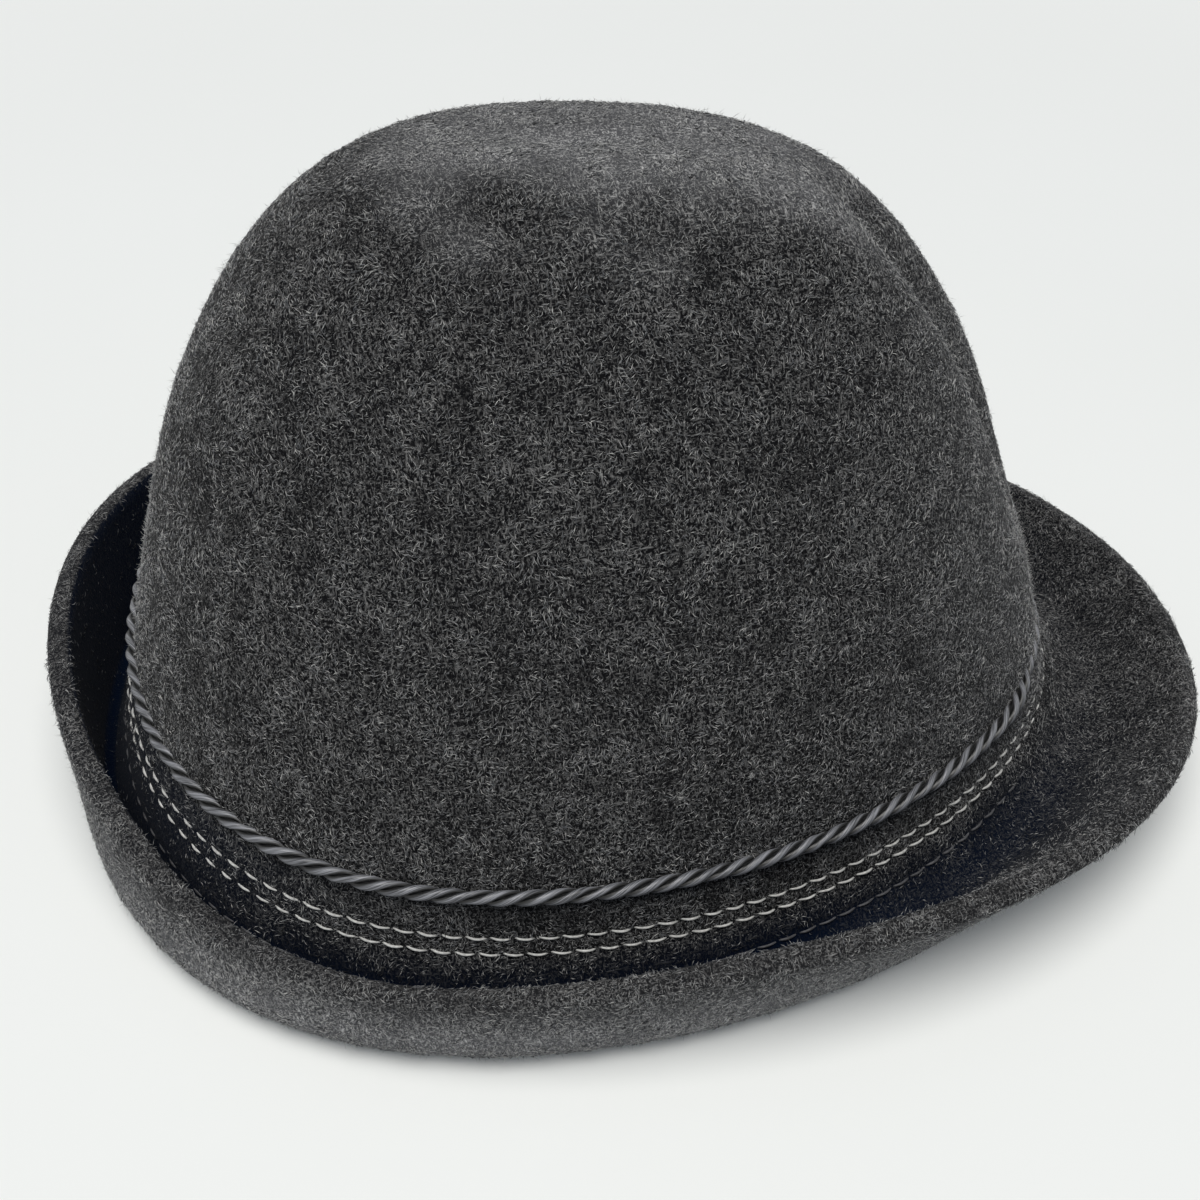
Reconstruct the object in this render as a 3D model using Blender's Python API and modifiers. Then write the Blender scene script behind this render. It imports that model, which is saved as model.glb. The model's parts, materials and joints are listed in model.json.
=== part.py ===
"""Alpine felt hat: a blocked felt body with a creased crown and a turned-up brim, a cord round the
band, two rows of top stitching, and a leather sweatband sewn in at the brim break.

Metres, +Z up, +X to the hat's front, +Y to the wearer's left. The hat stands on the bend of its brim,
at z = 0, and the origin is under the middle of the brim's box.
"""

import math

import bmesh
import bpy
import numpy as np
from mathutils import Vector

# The oval where the crown meets the brim, measured on the felt's outer face
FRONT_REACH = 0.1068
BACK_REACH = 0.1105
HALF_WIDTH = 0.089
OVAL_POWER = 2.12
EGG = 0.19  # how much wider than its middle the oval is at the back, as a share

# The felt
FELT_T = 0.0046
REST_FLAT = 0.0006  # how far the brim's bend is pressed flat where it stands

# The crown, from the break line up
CROWN_RISE = 0.1285
BREAK_TILT = 0.0025  # the break line dips this much in front and rises as much behind
BAND_TILT = 0.0064  # and so do the lines of trim above it
BREAK_SADDLE = 0.0021  # front and back rise by this, and the sides drop
FLARE = 0.0050  # how far the wall draws in above the break
FLARE_RISE = 0.014
LEAN_BACK = 0.0035  # how far the tip lies behind the middle of the break
LENGTH_DOME = (0.0, 1.16, 3.1)  # taper, power and root of the side view's outline
WIDTH_DOME = (0.36, 2.0, 2.5)  # and of the front view's

# The lengthwise crease in the tip and its deeper groove down the front
CREASE_DEPTH = 0.0020
GROOVE_DEPTH = 0.0062
GROOVE_TOP = (0.032, 0.062)  # the crease deepens to the groove between these X
CREASE_HALF = 0.0078
CREASE_AIM = math.radians(3.5)  # turned this far towards the wearer's right
CREASE_PIVOT = -0.010  # about this X
CREASE_BACK = (-0.050, -0.018)  # starts and is full at these X
CREASE_FOOT = (0.032, 0.068)  # fades out between these heights above the break on the front

# The brim, shaped by hand and so uneven: bend radius, wall angle from level, and wall length, at eight
# even steps from the front towards the wearer's left
BEND_R = (0.0067, 0.0030, 0.0027, 0.0027, 0.0017, 0.0014, 0.0037, 0.0061)
WALL_LEAN = tuple(math.radians(lean) for lean in (49, 67, 86, 85, 85, 104, 92, 61))
WALL_L = (0.0183, 0.0141, 0.0143, 0.0146, 0.0277, 0.0151, 0.0145, 0.0217)

# Trim on the crown, at heights above the break line
CORD_R = 0.0017
CORD_H = 0.0190
STITCH_R = 0.0003
UPPER_STITCH_H = 0.0098
LOWER_STITCH_H = 0.0068
JOIN_ANGLE = math.pi / 2  # the cord's ends meet on the wearer's left
JOIN_GAP = 0.0006
TACK_L = 0.0080
TACK_WALL = 0.0007
TACK_LIFT = 0.0010  # the tack's feet clear the felt's hollow curve below the cord

# Sweatband
BAND_T = 0.0011
BAND_FOOT_H = 0.0042
BAND_TOP_H = 0.0360
REED_R = 0.0011
TAPE_T = 0.0006
TAPE_HALF_W = 0.0055
TAPE_MARGIN = 0.0030  # how far the tape stops short of the band's top edge

CLEARANCE = 0.00035  # between pieces that touch

# Heights of the rings that the felt and its sweatband share, so that they stay parallel
BAND_RINGS = (BAND_FOOT_H, LOWER_STITCH_H, UPPER_STITCH_H, CORD_H, (CORD_H + BAND_TOP_H) / 2, BAND_TOP_H)

# Mesh steps
SEGMENTS = 72
TIP_RINGS = 12
BEND_RINGS = 9
WALL_RINGS = 3
CORD_SIDES = 8
THREAD_SIDES = 5
ARCH_STEPS = 10

FELT_GREY = (0.040, 0.040, 0.043)
SATIN_GREY = (0.060, 0.062, 0.068)
THREAD_PALE = (0.42, 0.41, 0.39)
THREAD_DARK = (0.050, 0.050, 0.054)
LEATHER_BLACK = (0.022, 0.019, 0.018)
TAPE_BLACK = (0.015, 0.015, 0.017)


def around(angle, stations):
    """A value that runs smoothly round the brim through an even number of stations."""
    count = len(stations)
    total = 0.0
    for number, value in enumerate(stations):
        turn = angle - 2 * math.pi * number / count
        waves = sum(2 * math.cos(order * turn) for order in range(1, count // 2))
        total += value * (1 + waves + math.cos(count // 2 * turn)) / count
    return total


def step(value, low, high):
    """0 below low, 1 above high, smooth between."""
    share = min(max((value - low) / (high - low), 0.0), 1.0)
    return share * share * (3 - 2 * share)


def dome(rise, taper, power, root):
    """Share of the base size left at a share of the height."""
    return (1 - taper * rise) * max(1 - rise**power, 0.0) ** (1 / root)


def plan(angle):
    """A point of the break oval."""
    c, s = math.cos(angle), math.sin(angle)
    along = math.copysign(abs(c) ** (2 / OVAL_POWER), c)
    across = math.copysign(abs(s) ** (2 / OVAL_POWER), s)
    reach = FRONT_REACH if c > 0 else BACK_REACH
    return reach * along, HALF_WIDTH * across * (1 - EGG * along)


def outward(angle):
    """Level unit normal of the break oval."""
    x0, y0 = plan(angle - 0.002)
    x1, y1 = plan(angle + 0.002)
    return Vector((y1 - y0, x0 - x1, 0)).normalized()


def share(height):
    """A height above the break line as a share of the crown's."""
    return height / CROWN_RISE


def dip(angle, rise):
    """How far a line round the crown lies below its mean height."""
    tilt = BREAK_TILT + (BAND_TILT - BREAK_TILT) * step(rise, 0.0, share(UPPER_STITCH_H))
    return (tilt * math.cos(angle) - BREAK_SADDLE * math.cos(2 * angle)) * (1 - rise)


def smooth_crown(angle, rise):
    """A point of the crown's outer face before it is creased, at a share of the crown's height."""
    x, y = plan(angle)
    drawn = FLARE * (1 - math.exp(-CROWN_RISE * rise / FLARE_RISE))
    x *= (1 - drawn / BACK_REACH) * dome(rise, *LENGTH_DOME)
    y *= (1 - drawn / HALF_WIDTH) * dome(rise, *WIDTH_DOME)
    return Vector((x - LEAN_BACK * rise, y, CROWN_RISE * rise - dip(angle, rise)))


def break_slope(angle):
    """Angle below level at which the crown's wall runs into the brim."""
    wall = smooth_crown(angle, 0.0) - smooth_crown(angle, 0.002)
    return math.atan2(-wall.z, wall.dot(outward(angle)))


def break_drop(angle):
    """Fall of the brim's upper face from the break line to the bottom of its bend."""
    return around(angle, BEND_R) * (1 - math.cos(break_slope(angle)))


def crown_normal(angle, rise):
    """Outward unit normal of the uncreased crown."""
    low, high = max(rise - 0.004, 0.0), min(rise + 0.004, 0.9995)
    up = smooth_crown(angle, high) - smooth_crown(angle, low)
    round_ = smooth_crown(angle + 0.01, rise) - smooth_crown(angle - 0.01, rise)
    return round_.cross(up).normalized()


def crown(angle, rise, lift=0.0):
    """A point on the crown, or off it by lift along its normal."""
    p = smooth_crown(angle, rise)
    normal = crown_normal(angle, rise)
    aside = p.y + math.tan(CREASE_AIM) * (p.x - CREASE_PIVOT)
    depth = CREASE_DEPTH + (GROOVE_DEPTH - CREASE_DEPTH) * step(p.x, *GROOVE_TOP)
    crease = depth * math.exp(-((aside / CREASE_HALF) ** 2))
    crease *= step(p.z, *CREASE_FOOT) * step(p.x, *CREASE_BACK)
    return p + normal * (lift - crease)


BRIM_DROP = max(dip(a, 0.0) + break_drop(a) for a in np.linspace(0, 2 * math.pi, 361))
BREAK_Z = BRIM_DROP + FELT_T - REST_FLAT  # mean height of the break line, from what hangs below it


def brim(angle, turn, run):
    """A point of the brim's upper face: turn is a share of the bend, run a share of the wall after it."""
    radius, lean, length = (around(angle, stations) for stations in (BEND_R, WALL_LEAN, WALL_L))
    slope = break_slope(angle)
    straight = (BRIM_DROP - dip(angle, 0.0) - break_drop(angle)) / math.sin(slope)
    at = -slope + turn * (slope + lean)
    out = straight * math.cos(slope) + radius * (math.sin(at) + math.sin(slope))
    down = straight * math.sin(slope) + radius * (math.cos(at) - math.cos(slope))
    out += run * length * math.cos(lean)
    up = run * length * math.sin(lean) - down
    return smooth_crown(angle, 0.0) + outward(angle) * out + Vector((0, 0, up))


def angles(first=0.0, last=2 * math.pi, closed=True):
    """Angles round the hat in the felt's own steps, so that trim runs parallel to its facets."""
    pitch = 2 * math.pi / SEGMENTS
    if closed:
        return [first + i * pitch for i in range(SEGMENTS)]
    inside = [i * pitch for i in range(-SEGMENTS, 2 * SEGMENTS) if first + 1e-6 < i * pitch < last - 1e-6]
    return [first, *inside, last]


def clear_scene():
    for obj in list(bpy.data.objects):
        bpy.data.objects.remove(obj, do_unlink=True)


def material(name, colour, roughness):
    made = bpy.data.materials.new(name)
    made.use_nodes = True
    shader = made.node_tree.nodes["Principled BSDF"]
    shader.inputs["Base Color"].default_value = (*colour, 1)
    shader.inputs["Roughness"].default_value = roughness
    shader.inputs["Metallic"].default_value = 0.0
    return made


def finish(bm, name, collection, parent, look):
    """Turns a bmesh into a named part with outward faces."""
    bmesh.ops.recalc_face_normals(bm, faces=bm.faces)
    highest = max(bm.faces, key=lambda face: face.calc_center_median().z)
    if highest.normal.z < 0:  # an open skin can come out facing in
        bmesh.ops.reverse_faces(bm, faces=bm.faces)
    mesh = bpy.data.meshes.new(name)
    bm.to_mesh(mesh)
    bm.free()
    mesh.materials.append(material(name, *look))
    obj = bpy.data.objects.new(name, mesh)
    obj.parent = parent
    collection.objects.link(obj)
    return obj


def loop(bm, points, closed=True):
    """A chain of vertices and the edges along it."""
    verts = [bm.verts.new(p) for p in points]
    pairs = zip(verts, verts[1:] + verts[:1]) if closed else zip(verts, verts[1:])
    return verts, [bm.edges.new(pair) for pair in pairs]


def loft(bm, rings):
    """Bridges closed rings of points in order and returns the first and last rings' vertices."""
    loops = [loop(bm, ring) for ring in rings]
    for (_, low), (_, high) in zip(loops, loops[1:]):
        bmesh.ops.bridge_loops(bm, edges=low + high)
    return loops[0][0], loops[-1][0]


def tube(bm, path, normals, radius, sides, closed):
    """A round tube along a path, with its sections square to it."""
    sections = []
    count = len(path)
    for i, (p, normal) in enumerate(zip(path, normals)):
        ahead = path[(i + 1) % count] if closed or i + 1 < count else p
        behind = path[i - 1] if closed or i else p
        side = normal.cross(ahead - behind).normalized()
        ring = [2 * math.pi * k / sides for k in range(sides)]
        sections.append([p + radius * (math.cos(a) * normal + math.sin(a) * side) for a in ring])
    if closed:
        sections.append(sections[0])
    first, last = loft(bm, sections)
    if closed:
        bmesh.ops.remove_doubles(bm, verts=first + last, dist=1e-7)
    else:
        bm.faces.new(first)
        bm.faces.new(last)


def felt_body(collection, parent):
    """Crown and brim: one outer skin, thickened inwards and pressed flat where it stands."""
    top = share(BAND_TOP_H)
    widest = dome(top, 0.0, *LENGTH_DOME[1:])
    sizes = [widest * math.sin(math.pi / 2 * i / TIP_RINGS) for i in range(1, TIP_RINGS + 1)]
    _, power, root = LENGTH_DOME
    rises = [(1 - size**root) ** (1 / power) for size in sizes]
    rises += [share(h) for h in (*reversed(BAND_RINGS[:-1]), 0.0)]
    turns = [(i / BEND_RINGS, 0.0) for i in range(1, BEND_RINGS + 1)]
    runs = [(1.0, i / WALL_RINGS) for i in range(1, WALL_RINGS + 1)]
    rings = [[crown(a, rise) for a in angles()] for rise in rises]
    rings += [[brim(a, *place) for a in angles()] for place in turns + runs]
    bm = bmesh.new()
    tip, _ = loft(bm, rings)
    bmesh.ops.contextual_create(bm, geom=tip)
    bmesh.ops.poke(bm, faces=[f for f in bm.faces if len(f.verts) > 4])
    obj = finish(bm, "felt_body", collection, parent, (FELT_GREY, 0.95))
    thick = obj.modifiers.new("felt", "SOLIDIFY")
    thick.thickness = FELT_T
    thick.offset = -1
    thick.use_even_offset = True
    thick.use_rim = True
    return obj


def cord(collection, parent):
    """The cord lies on the crown; its ends meet under the tack."""
    rise = share(CORD_H)
    half = JOIN_GAP / 2 / HALF_WIDTH
    route = angles(JOIN_ANGLE + half, JOIN_ANGLE + 2 * math.pi - half, closed=False)
    path = [crown(a, rise, CORD_R + CLEARANCE) for a in route]
    bm = bmesh.new()
    tube(bm, path, [crown_normal(a, rise) for a in route], CORD_R, CORD_SIDES, closed=False)
    return finish(bm, "hat_cord", collection, parent, (SATIN_GREY, 0.35))


def cord_tack(collection, parent):
    """Thread bound over the cord's two ends and down to the felt on either side of it."""
    rise = share(CORD_H)
    normal = crown_normal(JOIN_ANGLE, rise)
    foot = crown(JOIN_ANGLE, rise, TACK_LIFT)
    centre = crown(JOIN_ANGLE, rise, CORD_R + CLEARANCE)
    along = (crown(JOIN_ANGLE + 0.02, rise) - crown(JOIN_ANGLE - 0.02, rise)).normalized()
    side = normal.cross(along).normalized()
    inner, outer = CORD_R + CLEARANCE, CORD_R + CLEARANCE + TACK_WALL
    bow = [math.pi * i / ARCH_STEPS for i in range(ARCH_STEPS + 1)]
    arch = [centre + outer * (math.cos(a) * side + math.sin(a) * normal) for a in bow]
    arch += [foot - outer * side, foot - inner * side]
    arch += [centre + inner * (math.cos(a) * side + math.sin(a) * normal) for a in reversed(bow)]
    arch += [foot + inner * side, foot + outer * side]
    bm = bmesh.new()
    ends = [[p + along * reach for p in arch] for reach in (-TACK_L / 2, TACK_L / 2)]
    first, last = loft(bm, ends)
    bm.faces.new(first)
    bm.faces.new(last)
    return finish(bm, "cord_tack", collection, parent, (THREAD_DARK, 0.7))


def stitch_row(name, height, colour, collection, parent):
    """One sewing thread round the hat, on the felt's outer face."""
    rise = share(height)
    path = [crown(a, rise, STITCH_R + CLEARANCE) for a in angles()]
    bm = bmesh.new()
    tube(bm, path, [crown_normal(a, rise) for a in angles()], STITCH_R, THREAD_SIDES, closed=True)
    return finish(bm, name, collection, parent, (colour, 0.6))


def sweatband(collection, parent):
    """A leather strip inside the crown, open by a hair where its ends meet behind."""
    half = JOIN_GAP / 2 / BACK_REACH
    route = angles(-math.pi + half, math.pi - half, closed=False)
    near, far = -(FELT_T + CLEARANCE), -(FELT_T + CLEARANCE + BAND_T)
    steps = [share(h) for h in BAND_RINGS]
    sections = []
    for a in route:
        section = [crown(a, r, near) for r in steps] + [crown(a, r, far) for r in reversed(steps)]
        sections.append(section)
    bm = bmesh.new()
    first, last = loft(bm, sections)
    bm.faces.new(first)
    bm.faces.new(last)
    return finish(bm, "sweatband", collection, parent, (LEATHER_BLACK, 0.55))


def sweatband_reed(collection, parent):
    """The reed along the sweatband's sewn edge."""
    depth = FELT_T + CLEARANCE + REED_R
    path = [crown(a, 0.0, -depth) for a in angles()]
    bm = bmesh.new()
    tube(bm, path, [crown_normal(a, 0.0) for a in angles()], REED_R, CORD_SIDES - 2, closed=True)
    return finish(bm, "sweatband_reed", collection, parent, (LEATHER_BLACK, 0.5))


def seam_tape(collection, parent):
    """Tape over the sweatband's back seam."""
    half = TAPE_HALF_W / BACK_REACH
    near = -(FELT_T + 2 * CLEARANCE + BAND_T)
    far = near - TAPE_T
    steps = [share(h) for h in (*BAND_RINGS[1:-1], BAND_TOP_H - TAPE_MARGIN)]
    sections = []
    for a in (math.pi - half, math.pi, math.pi + half):
        section = [crown(a, r, near) for r in steps] + [crown(a, r, far) for r in reversed(steps)]
        sections.append(section)
    bm = bmesh.new()
    first, last = loft(bm, sections)
    bm.faces.new(first)
    bm.faces.new(last)
    return finish(bm, "sweatband_seam_tape", collection, parent, (TAPE_BLACK, 0.8))


def press_flat(obj):
    """Cuts the felt level at z = 0, where the brim's bend stands."""
    cutter = bpy.data.objects["table_cut"]
    cut = obj.modifiers.new("rest", "BOOLEAN")
    cut.operation = "DIFFERENCE"
    cut.solver = "EXACT"
    cut.object = cutter


def table_cutter(collection):
    """A block under z = 0, larger than the hat."""
    bm = bmesh.new()
    bmesh.ops.create_cube(bm, size=1.0)
    size = 4 * BACK_REACH
    bmesh.ops.scale(bm, vec=(size, size, 0.02), verts=bm.verts)
    bmesh.ops.translate(bm, vec=(0, 0, -0.01), verts=bm.verts)
    mesh = bpy.data.meshes.new("table_cut")
    bm.to_mesh(mesh)
    bm.free()
    cutter = bpy.data.objects.new("table_cut", mesh)
    cutter.hide_render = True
    cutter.display_type = "WIRE"
    collection.objects.link(cutter)


def centre(hat, felt):
    """Moves the whole hat until the brim's box is centred on the origin."""
    graph = bpy.context.evaluated_depsgraph_get()
    corners = [Vector(corner) for corner in felt.evaluated_get(graph).bound_box]
    middle = (min(c.x for c in corners) + max(c.x for c in corners)) / 2
    side = (min(c.y for c in corners) + max(c.y for c in corners)) / 2
    hat.location = (-middle, -side, BREAK_Z)


def main():
    clear_scene()
    parts = bpy.data.collections.new("alpine_hat")
    cutters = bpy.data.collections.new("cutters")
    cutters.hide_render = True
    for collection in (parts, cutters):
        bpy.context.scene.collection.children.link(collection)
    hat = bpy.data.objects.new("hat", None)
    hat.location.z = BREAK_Z
    parts.objects.link(hat)
    table_cutter(cutters)
    felt = felt_body(parts, hat)
    press_flat(felt)
    centre(hat, felt)
    cord(parts, hat)
    cord_tack(parts, hat)
    stitch_row("top_stitch_upper", UPPER_STITCH_H, THREAD_PALE, parts, hat)
    stitch_row("top_stitch_lower", LOWER_STITCH_H, THREAD_PALE, parts, hat)
    stitch_row("sweatband_stitch", 0.0, THREAD_DARK, parts, hat)
    sweatband(parts, hat)
    sweatband_reed(parts, hat)
    seam_tape(parts, hat)


main()
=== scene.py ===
"""Dresses the alpine felt hat: napped felt, twisted cord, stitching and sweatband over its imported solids."""

import json
import logging
import math
from dataclasses import dataclass, field
from enum import Enum
from typing import Any

import bpy
import numpy as np
from bpy.types import ID, Collection, Material, Node, NodeSocket, NodeTree, Object
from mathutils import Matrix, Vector, noise

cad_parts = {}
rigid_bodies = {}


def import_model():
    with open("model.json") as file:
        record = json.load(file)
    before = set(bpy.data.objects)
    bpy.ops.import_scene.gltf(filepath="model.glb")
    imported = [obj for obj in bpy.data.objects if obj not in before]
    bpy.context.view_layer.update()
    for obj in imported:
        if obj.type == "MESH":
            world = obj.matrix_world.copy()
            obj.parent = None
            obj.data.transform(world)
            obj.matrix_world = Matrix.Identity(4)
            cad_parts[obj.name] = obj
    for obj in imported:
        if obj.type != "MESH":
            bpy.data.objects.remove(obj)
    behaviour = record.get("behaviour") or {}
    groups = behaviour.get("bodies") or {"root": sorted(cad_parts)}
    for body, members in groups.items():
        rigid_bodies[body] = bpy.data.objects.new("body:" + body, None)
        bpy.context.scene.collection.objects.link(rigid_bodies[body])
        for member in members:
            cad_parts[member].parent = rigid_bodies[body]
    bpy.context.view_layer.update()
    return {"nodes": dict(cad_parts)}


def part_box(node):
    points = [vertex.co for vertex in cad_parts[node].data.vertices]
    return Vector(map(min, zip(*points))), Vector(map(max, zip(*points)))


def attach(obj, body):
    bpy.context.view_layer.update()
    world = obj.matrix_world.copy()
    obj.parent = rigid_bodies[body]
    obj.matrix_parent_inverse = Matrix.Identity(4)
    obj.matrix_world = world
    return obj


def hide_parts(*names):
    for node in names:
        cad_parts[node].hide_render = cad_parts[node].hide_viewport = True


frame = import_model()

LOG = logging.getLogger("alpine_hat")
MM = 0.001
BODY = "root"


def linear(hex_colour: str) -> tuple[float, float, float, float]:
    """Turns an sRGB hex colour into linear RGBA.

    Args:
        hex_colour: Six hex digits after a hash sign.

    Returns:
        The linear colour with an alpha of 1.
    """
    parts = [int(hex_colour[i : i + 2], 16) / 255 for i in (1, 3, 5)]
    red, green, blue = (p / 12.92 if p <= 0.04045 else ((p + 0.055) / 1.055) ** 2.4 for p in parts)
    return red, green, blue, 1.0


def feed(tree: NodeTree, node: Node, inputs: dict) -> None:
    """Sets a node's sockets, by name or number, to values or to the outputs that feed them.

    Args:
        tree: The node's tree.
        node: The node.
        inputs: Sockets to values or outputs.
    """
    for key, value in inputs.items():
        if isinstance(value, NodeSocket):
            tree.links.new(value, node.inputs[key])
        else:
            node.inputs[key].default_value = value


def add_node(tree: NodeTree, kind: str, inputs: dict | None = None, **settings: Any) -> Node:
    """Adds a node with its settings, values and links.

    Args:
        tree: The tree that takes the node.
        kind: The node's type name.
        inputs: Socket names or numbers to a value or to the output that feeds them.
        settings: The node's own properties.

    Returns:
        The new node.
    """
    node = tree.nodes.new(kind)
    for name, value in settings.items():
        setattr(node, name, value)
    feed(tree, node, inputs or {})
    return node


def calc(tree: NodeTree, operation: str, first: Any, second: Any, **settings: Any) -> NodeSocket:
    """The result of a sum on two values or outputs."""
    return add_node(tree, "ShaderNodeMath", {0: first, 1: second}, operation=operation, **settings).outputs[0]


def spread(tree: NodeTree, value: Any, low: float, high: float, **ends: float) -> NodeSocket:
    """Stretches a value so that low to high becomes 0 to 1, or other ends.

    Args:
        tree: The tree that takes the node.
        value: The value or output.
        low: What becomes the low end.
        high: What becomes the high end.
        ends: Ends other than 0 and 1, as to_min and to_max.

    Returns:
        The stretched output.
    """
    reach = {"Value": value, "From Min": low, "From Max": high}
    reach |= {"To " + key[3:].title(): end for key, end in ends.items()}
    return add_node(tree, "ShaderNodeMapRange", reach).outputs[0]


def mix(tree: NodeTree, share: Any, first: Any, second: Any) -> NodeSocket:
    """A colour between two, each an output, RGBA values or a hex string."""
    ends = [linear(c) if isinstance(c, str) else c for c in (first, second)]
    return add_node(tree, "ShaderNodeMix", {0: share, 6: ends[0], 7: ends[1]}, data_type="RGBA").outputs[2]


def cloud(tree: NodeTree, place: Any, scale: Any, detail: float) -> NodeSocket:
    """Soft noise over a place, from 0 to 1."""
    return add_node(tree, "ShaderNodeTexNoise", {"Vector": place, "Scale": scale, "Detail": detail}).outputs["Fac"]


def relief(tree: NodeTree, height: Any, strength: float, distance: float) -> NodeSocket:
    """The normal of a surface with fine relief, its distance in metres."""
    return add_node(tree, "ShaderNodeBump", {"Height": height, "Strength": strength, "Distance": distance}).outputs[0]


def own_place(tree: NodeTree) -> NodeSocket:
    """The place on the object, in metres."""
    return add_node(tree, "ShaderNodeTexCoord").outputs["Object"]


def new_finish(name: str) -> tuple[Material, NodeTree, Node]:
    """Starts a material.

    Args:
        name: Its name.

    Returns:
        The material, its tree and its shader.
    """
    made = bpy.data.materials.new(name)
    made.use_nodes = True
    return made, made.node_tree, made.node_tree.nodes["Principled BSDF"]


def smooth_step(value: float | np.ndarray, low: float, high: float) -> np.ndarray:
    """0 below low and 1 above high, smooth between."""
    share = np.clip((value - low) / (high - low), 0, 1)
    return share * share * (3 - 2 * share)


def unit(vectors: np.ndarray) -> np.ndarray:
    """Vectors brought to length 1 along the last axis."""
    return vectors / np.maximum(np.linalg.norm(vectors, axis=-1, keepdims=True), 1e-12)


class Winding(Enum):
    """Whether a strip of sections runs round to meet itself."""

    CLOSED = "closed"
    OPEN = "open"


def full_turn(count: int) -> np.ndarray:
    """Angles of a full turn in even steps."""
    return np.arange(count) * 2 * math.pi / count


def along_path(path: np.ndarray) -> np.ndarray:
    """Distance run at each point of a path."""
    return np.append(0, np.cumsum(np.linalg.norm(np.diff(path, axis=0), axis=1)))


def tube_points(spine: np.ndarray, out: np.ndarray, across: np.ndarray, fat: np.ndarray, sides: int) -> np.ndarray:
    """Ring sections of a tube.

    Args:
        spine: The middle line.
        out: The first direction of each section.
        across: The second one.
        fat: The radius by section, or by section and side.
        sides: Points in a ring.

    Returns:
        Places by section and side.
    """
    ring = full_turn(sides)[None, :, None]
    fat = np.asarray(fat, float)
    fat = fat[:, None, None] if fat.ndim == 1 else fat[..., None]
    return spine[:, None] + fat * np.cos(ring) * out[:, None] + fat * np.sin(ring) * across[:, None]


def mesh_object(name: str, points: np.ndarray, faces: list, material: Material | None) -> Object:
    """Makes a smooth-shaded object at the origin.

    Args:
        name: Name of the object and its mesh.
        points: Vertex places in metres.
        faces: Vertex numbers of each face.
        material: The finish, or None for a helper.

    Returns:
        The linked object.
    """
    mesh = bpy.data.meshes.new(name)
    mesh.from_pydata(points.reshape(-1, 3).tolist(), [], faces)
    mesh.polygons.foreach_set("use_smooth", [True] * len(mesh.polygons))
    if material:
        mesh.materials.append(material)
    mesh.update()
    obj = bpy.data.objects.new(name, mesh)
    bpy.context.scene.collection.objects.link(obj)
    return obj


def set_layer(obj: Object, name: str, values: np.ndarray) -> None:
    """Gives each point of an object a value or a direction under a name.

    Args:
        obj: The object.
        name: The layer's name.
        values: One for each point.
    """
    kind, key = ("FLOAT_VECTOR", "vector") if values.shape[-1:] == (3,) else ("FLOAT", "value")
    layer = obj.data.attributes.new(name, kind, "POINT")
    layer.data.foreach_set(key, values.ravel().astype(np.float32))


def solid(name: str, points: np.ndarray, faces: list, material: Material | None) -> Object:
    """A mesh object of a closed shell, its faces turned outwards if they point in.

    Args:
        name: Name of the object and its mesh.
        points: Vertex places in metres.
        faces: Vertex numbers of each face.
        material: The finish, or None for a helper.

    Returns:
        The linked object.
    """
    flat = points.reshape(-1, 3)
    volume = 0.0
    for face in faces:
        for second, third in zip(face[1:-1], face[2:]):
            volume += float(np.dot(flat[face[0]], np.cross(flat[second], flat[third])))
    if volume <= 0:
        faces = [face[::-1] for face in faces]
    return mesh_object(name, points, faces, material)


def skin_faces(rows: int, steps: int, along: Winding, start: int = 0) -> list:
    """Quads between rows of points that each run round to meet themselves.

    Args:
        rows: How many rows there are.
        steps: Points in a row.
        along: CLOSED if the last row joins the first.
        start: Number of the first point.

    Returns:
        Vertex numbers of each quad.
    """
    faces = []
    last = rows if along is Winding.CLOSED else rows - 1
    for row in range(last):
        low, high = start + row * steps, start + (row + 1) % rows * steps
        for step in range(steps):
            after = (step + 1) % steps
            faces.append((low + step, low + after, high + after, high + step))
    return faces


def tube_faces(rows: int, sides: int, along: Winding, start: int = 0) -> list:
    """Faces of a tube of ring sections, with end caps where it is open.

    Args:
        rows: How many sections there are.
        sides: Points in a section.
        along: CLOSED if the last section joins the first.
        start: Number of the first point.

    Returns:
        Vertex numbers of each face.
    """
    faces = skin_faces(rows, sides, along, start)
    if along is Winding.OPEN:
        faces.append(tuple(range(start + sides - 1, start - 1, -1)))
        faces.append(tuple(range(start + (rows - 1) * sides, start + rows * sides)))
    return faces


def dress(obj: Object, slot: str, *nodes: str) -> None:
    """Hangs a finished piece on the hat.

    Args:
        obj: The piece, in place.
        slot: The record's material slot; not used.
        nodes: The solids it stands for.
    """
    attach(obj, BODY)
    if nodes:
        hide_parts(*nodes)
    LOG.info("%s: %d faces", obj.name, len(obj.data.polygons))


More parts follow.
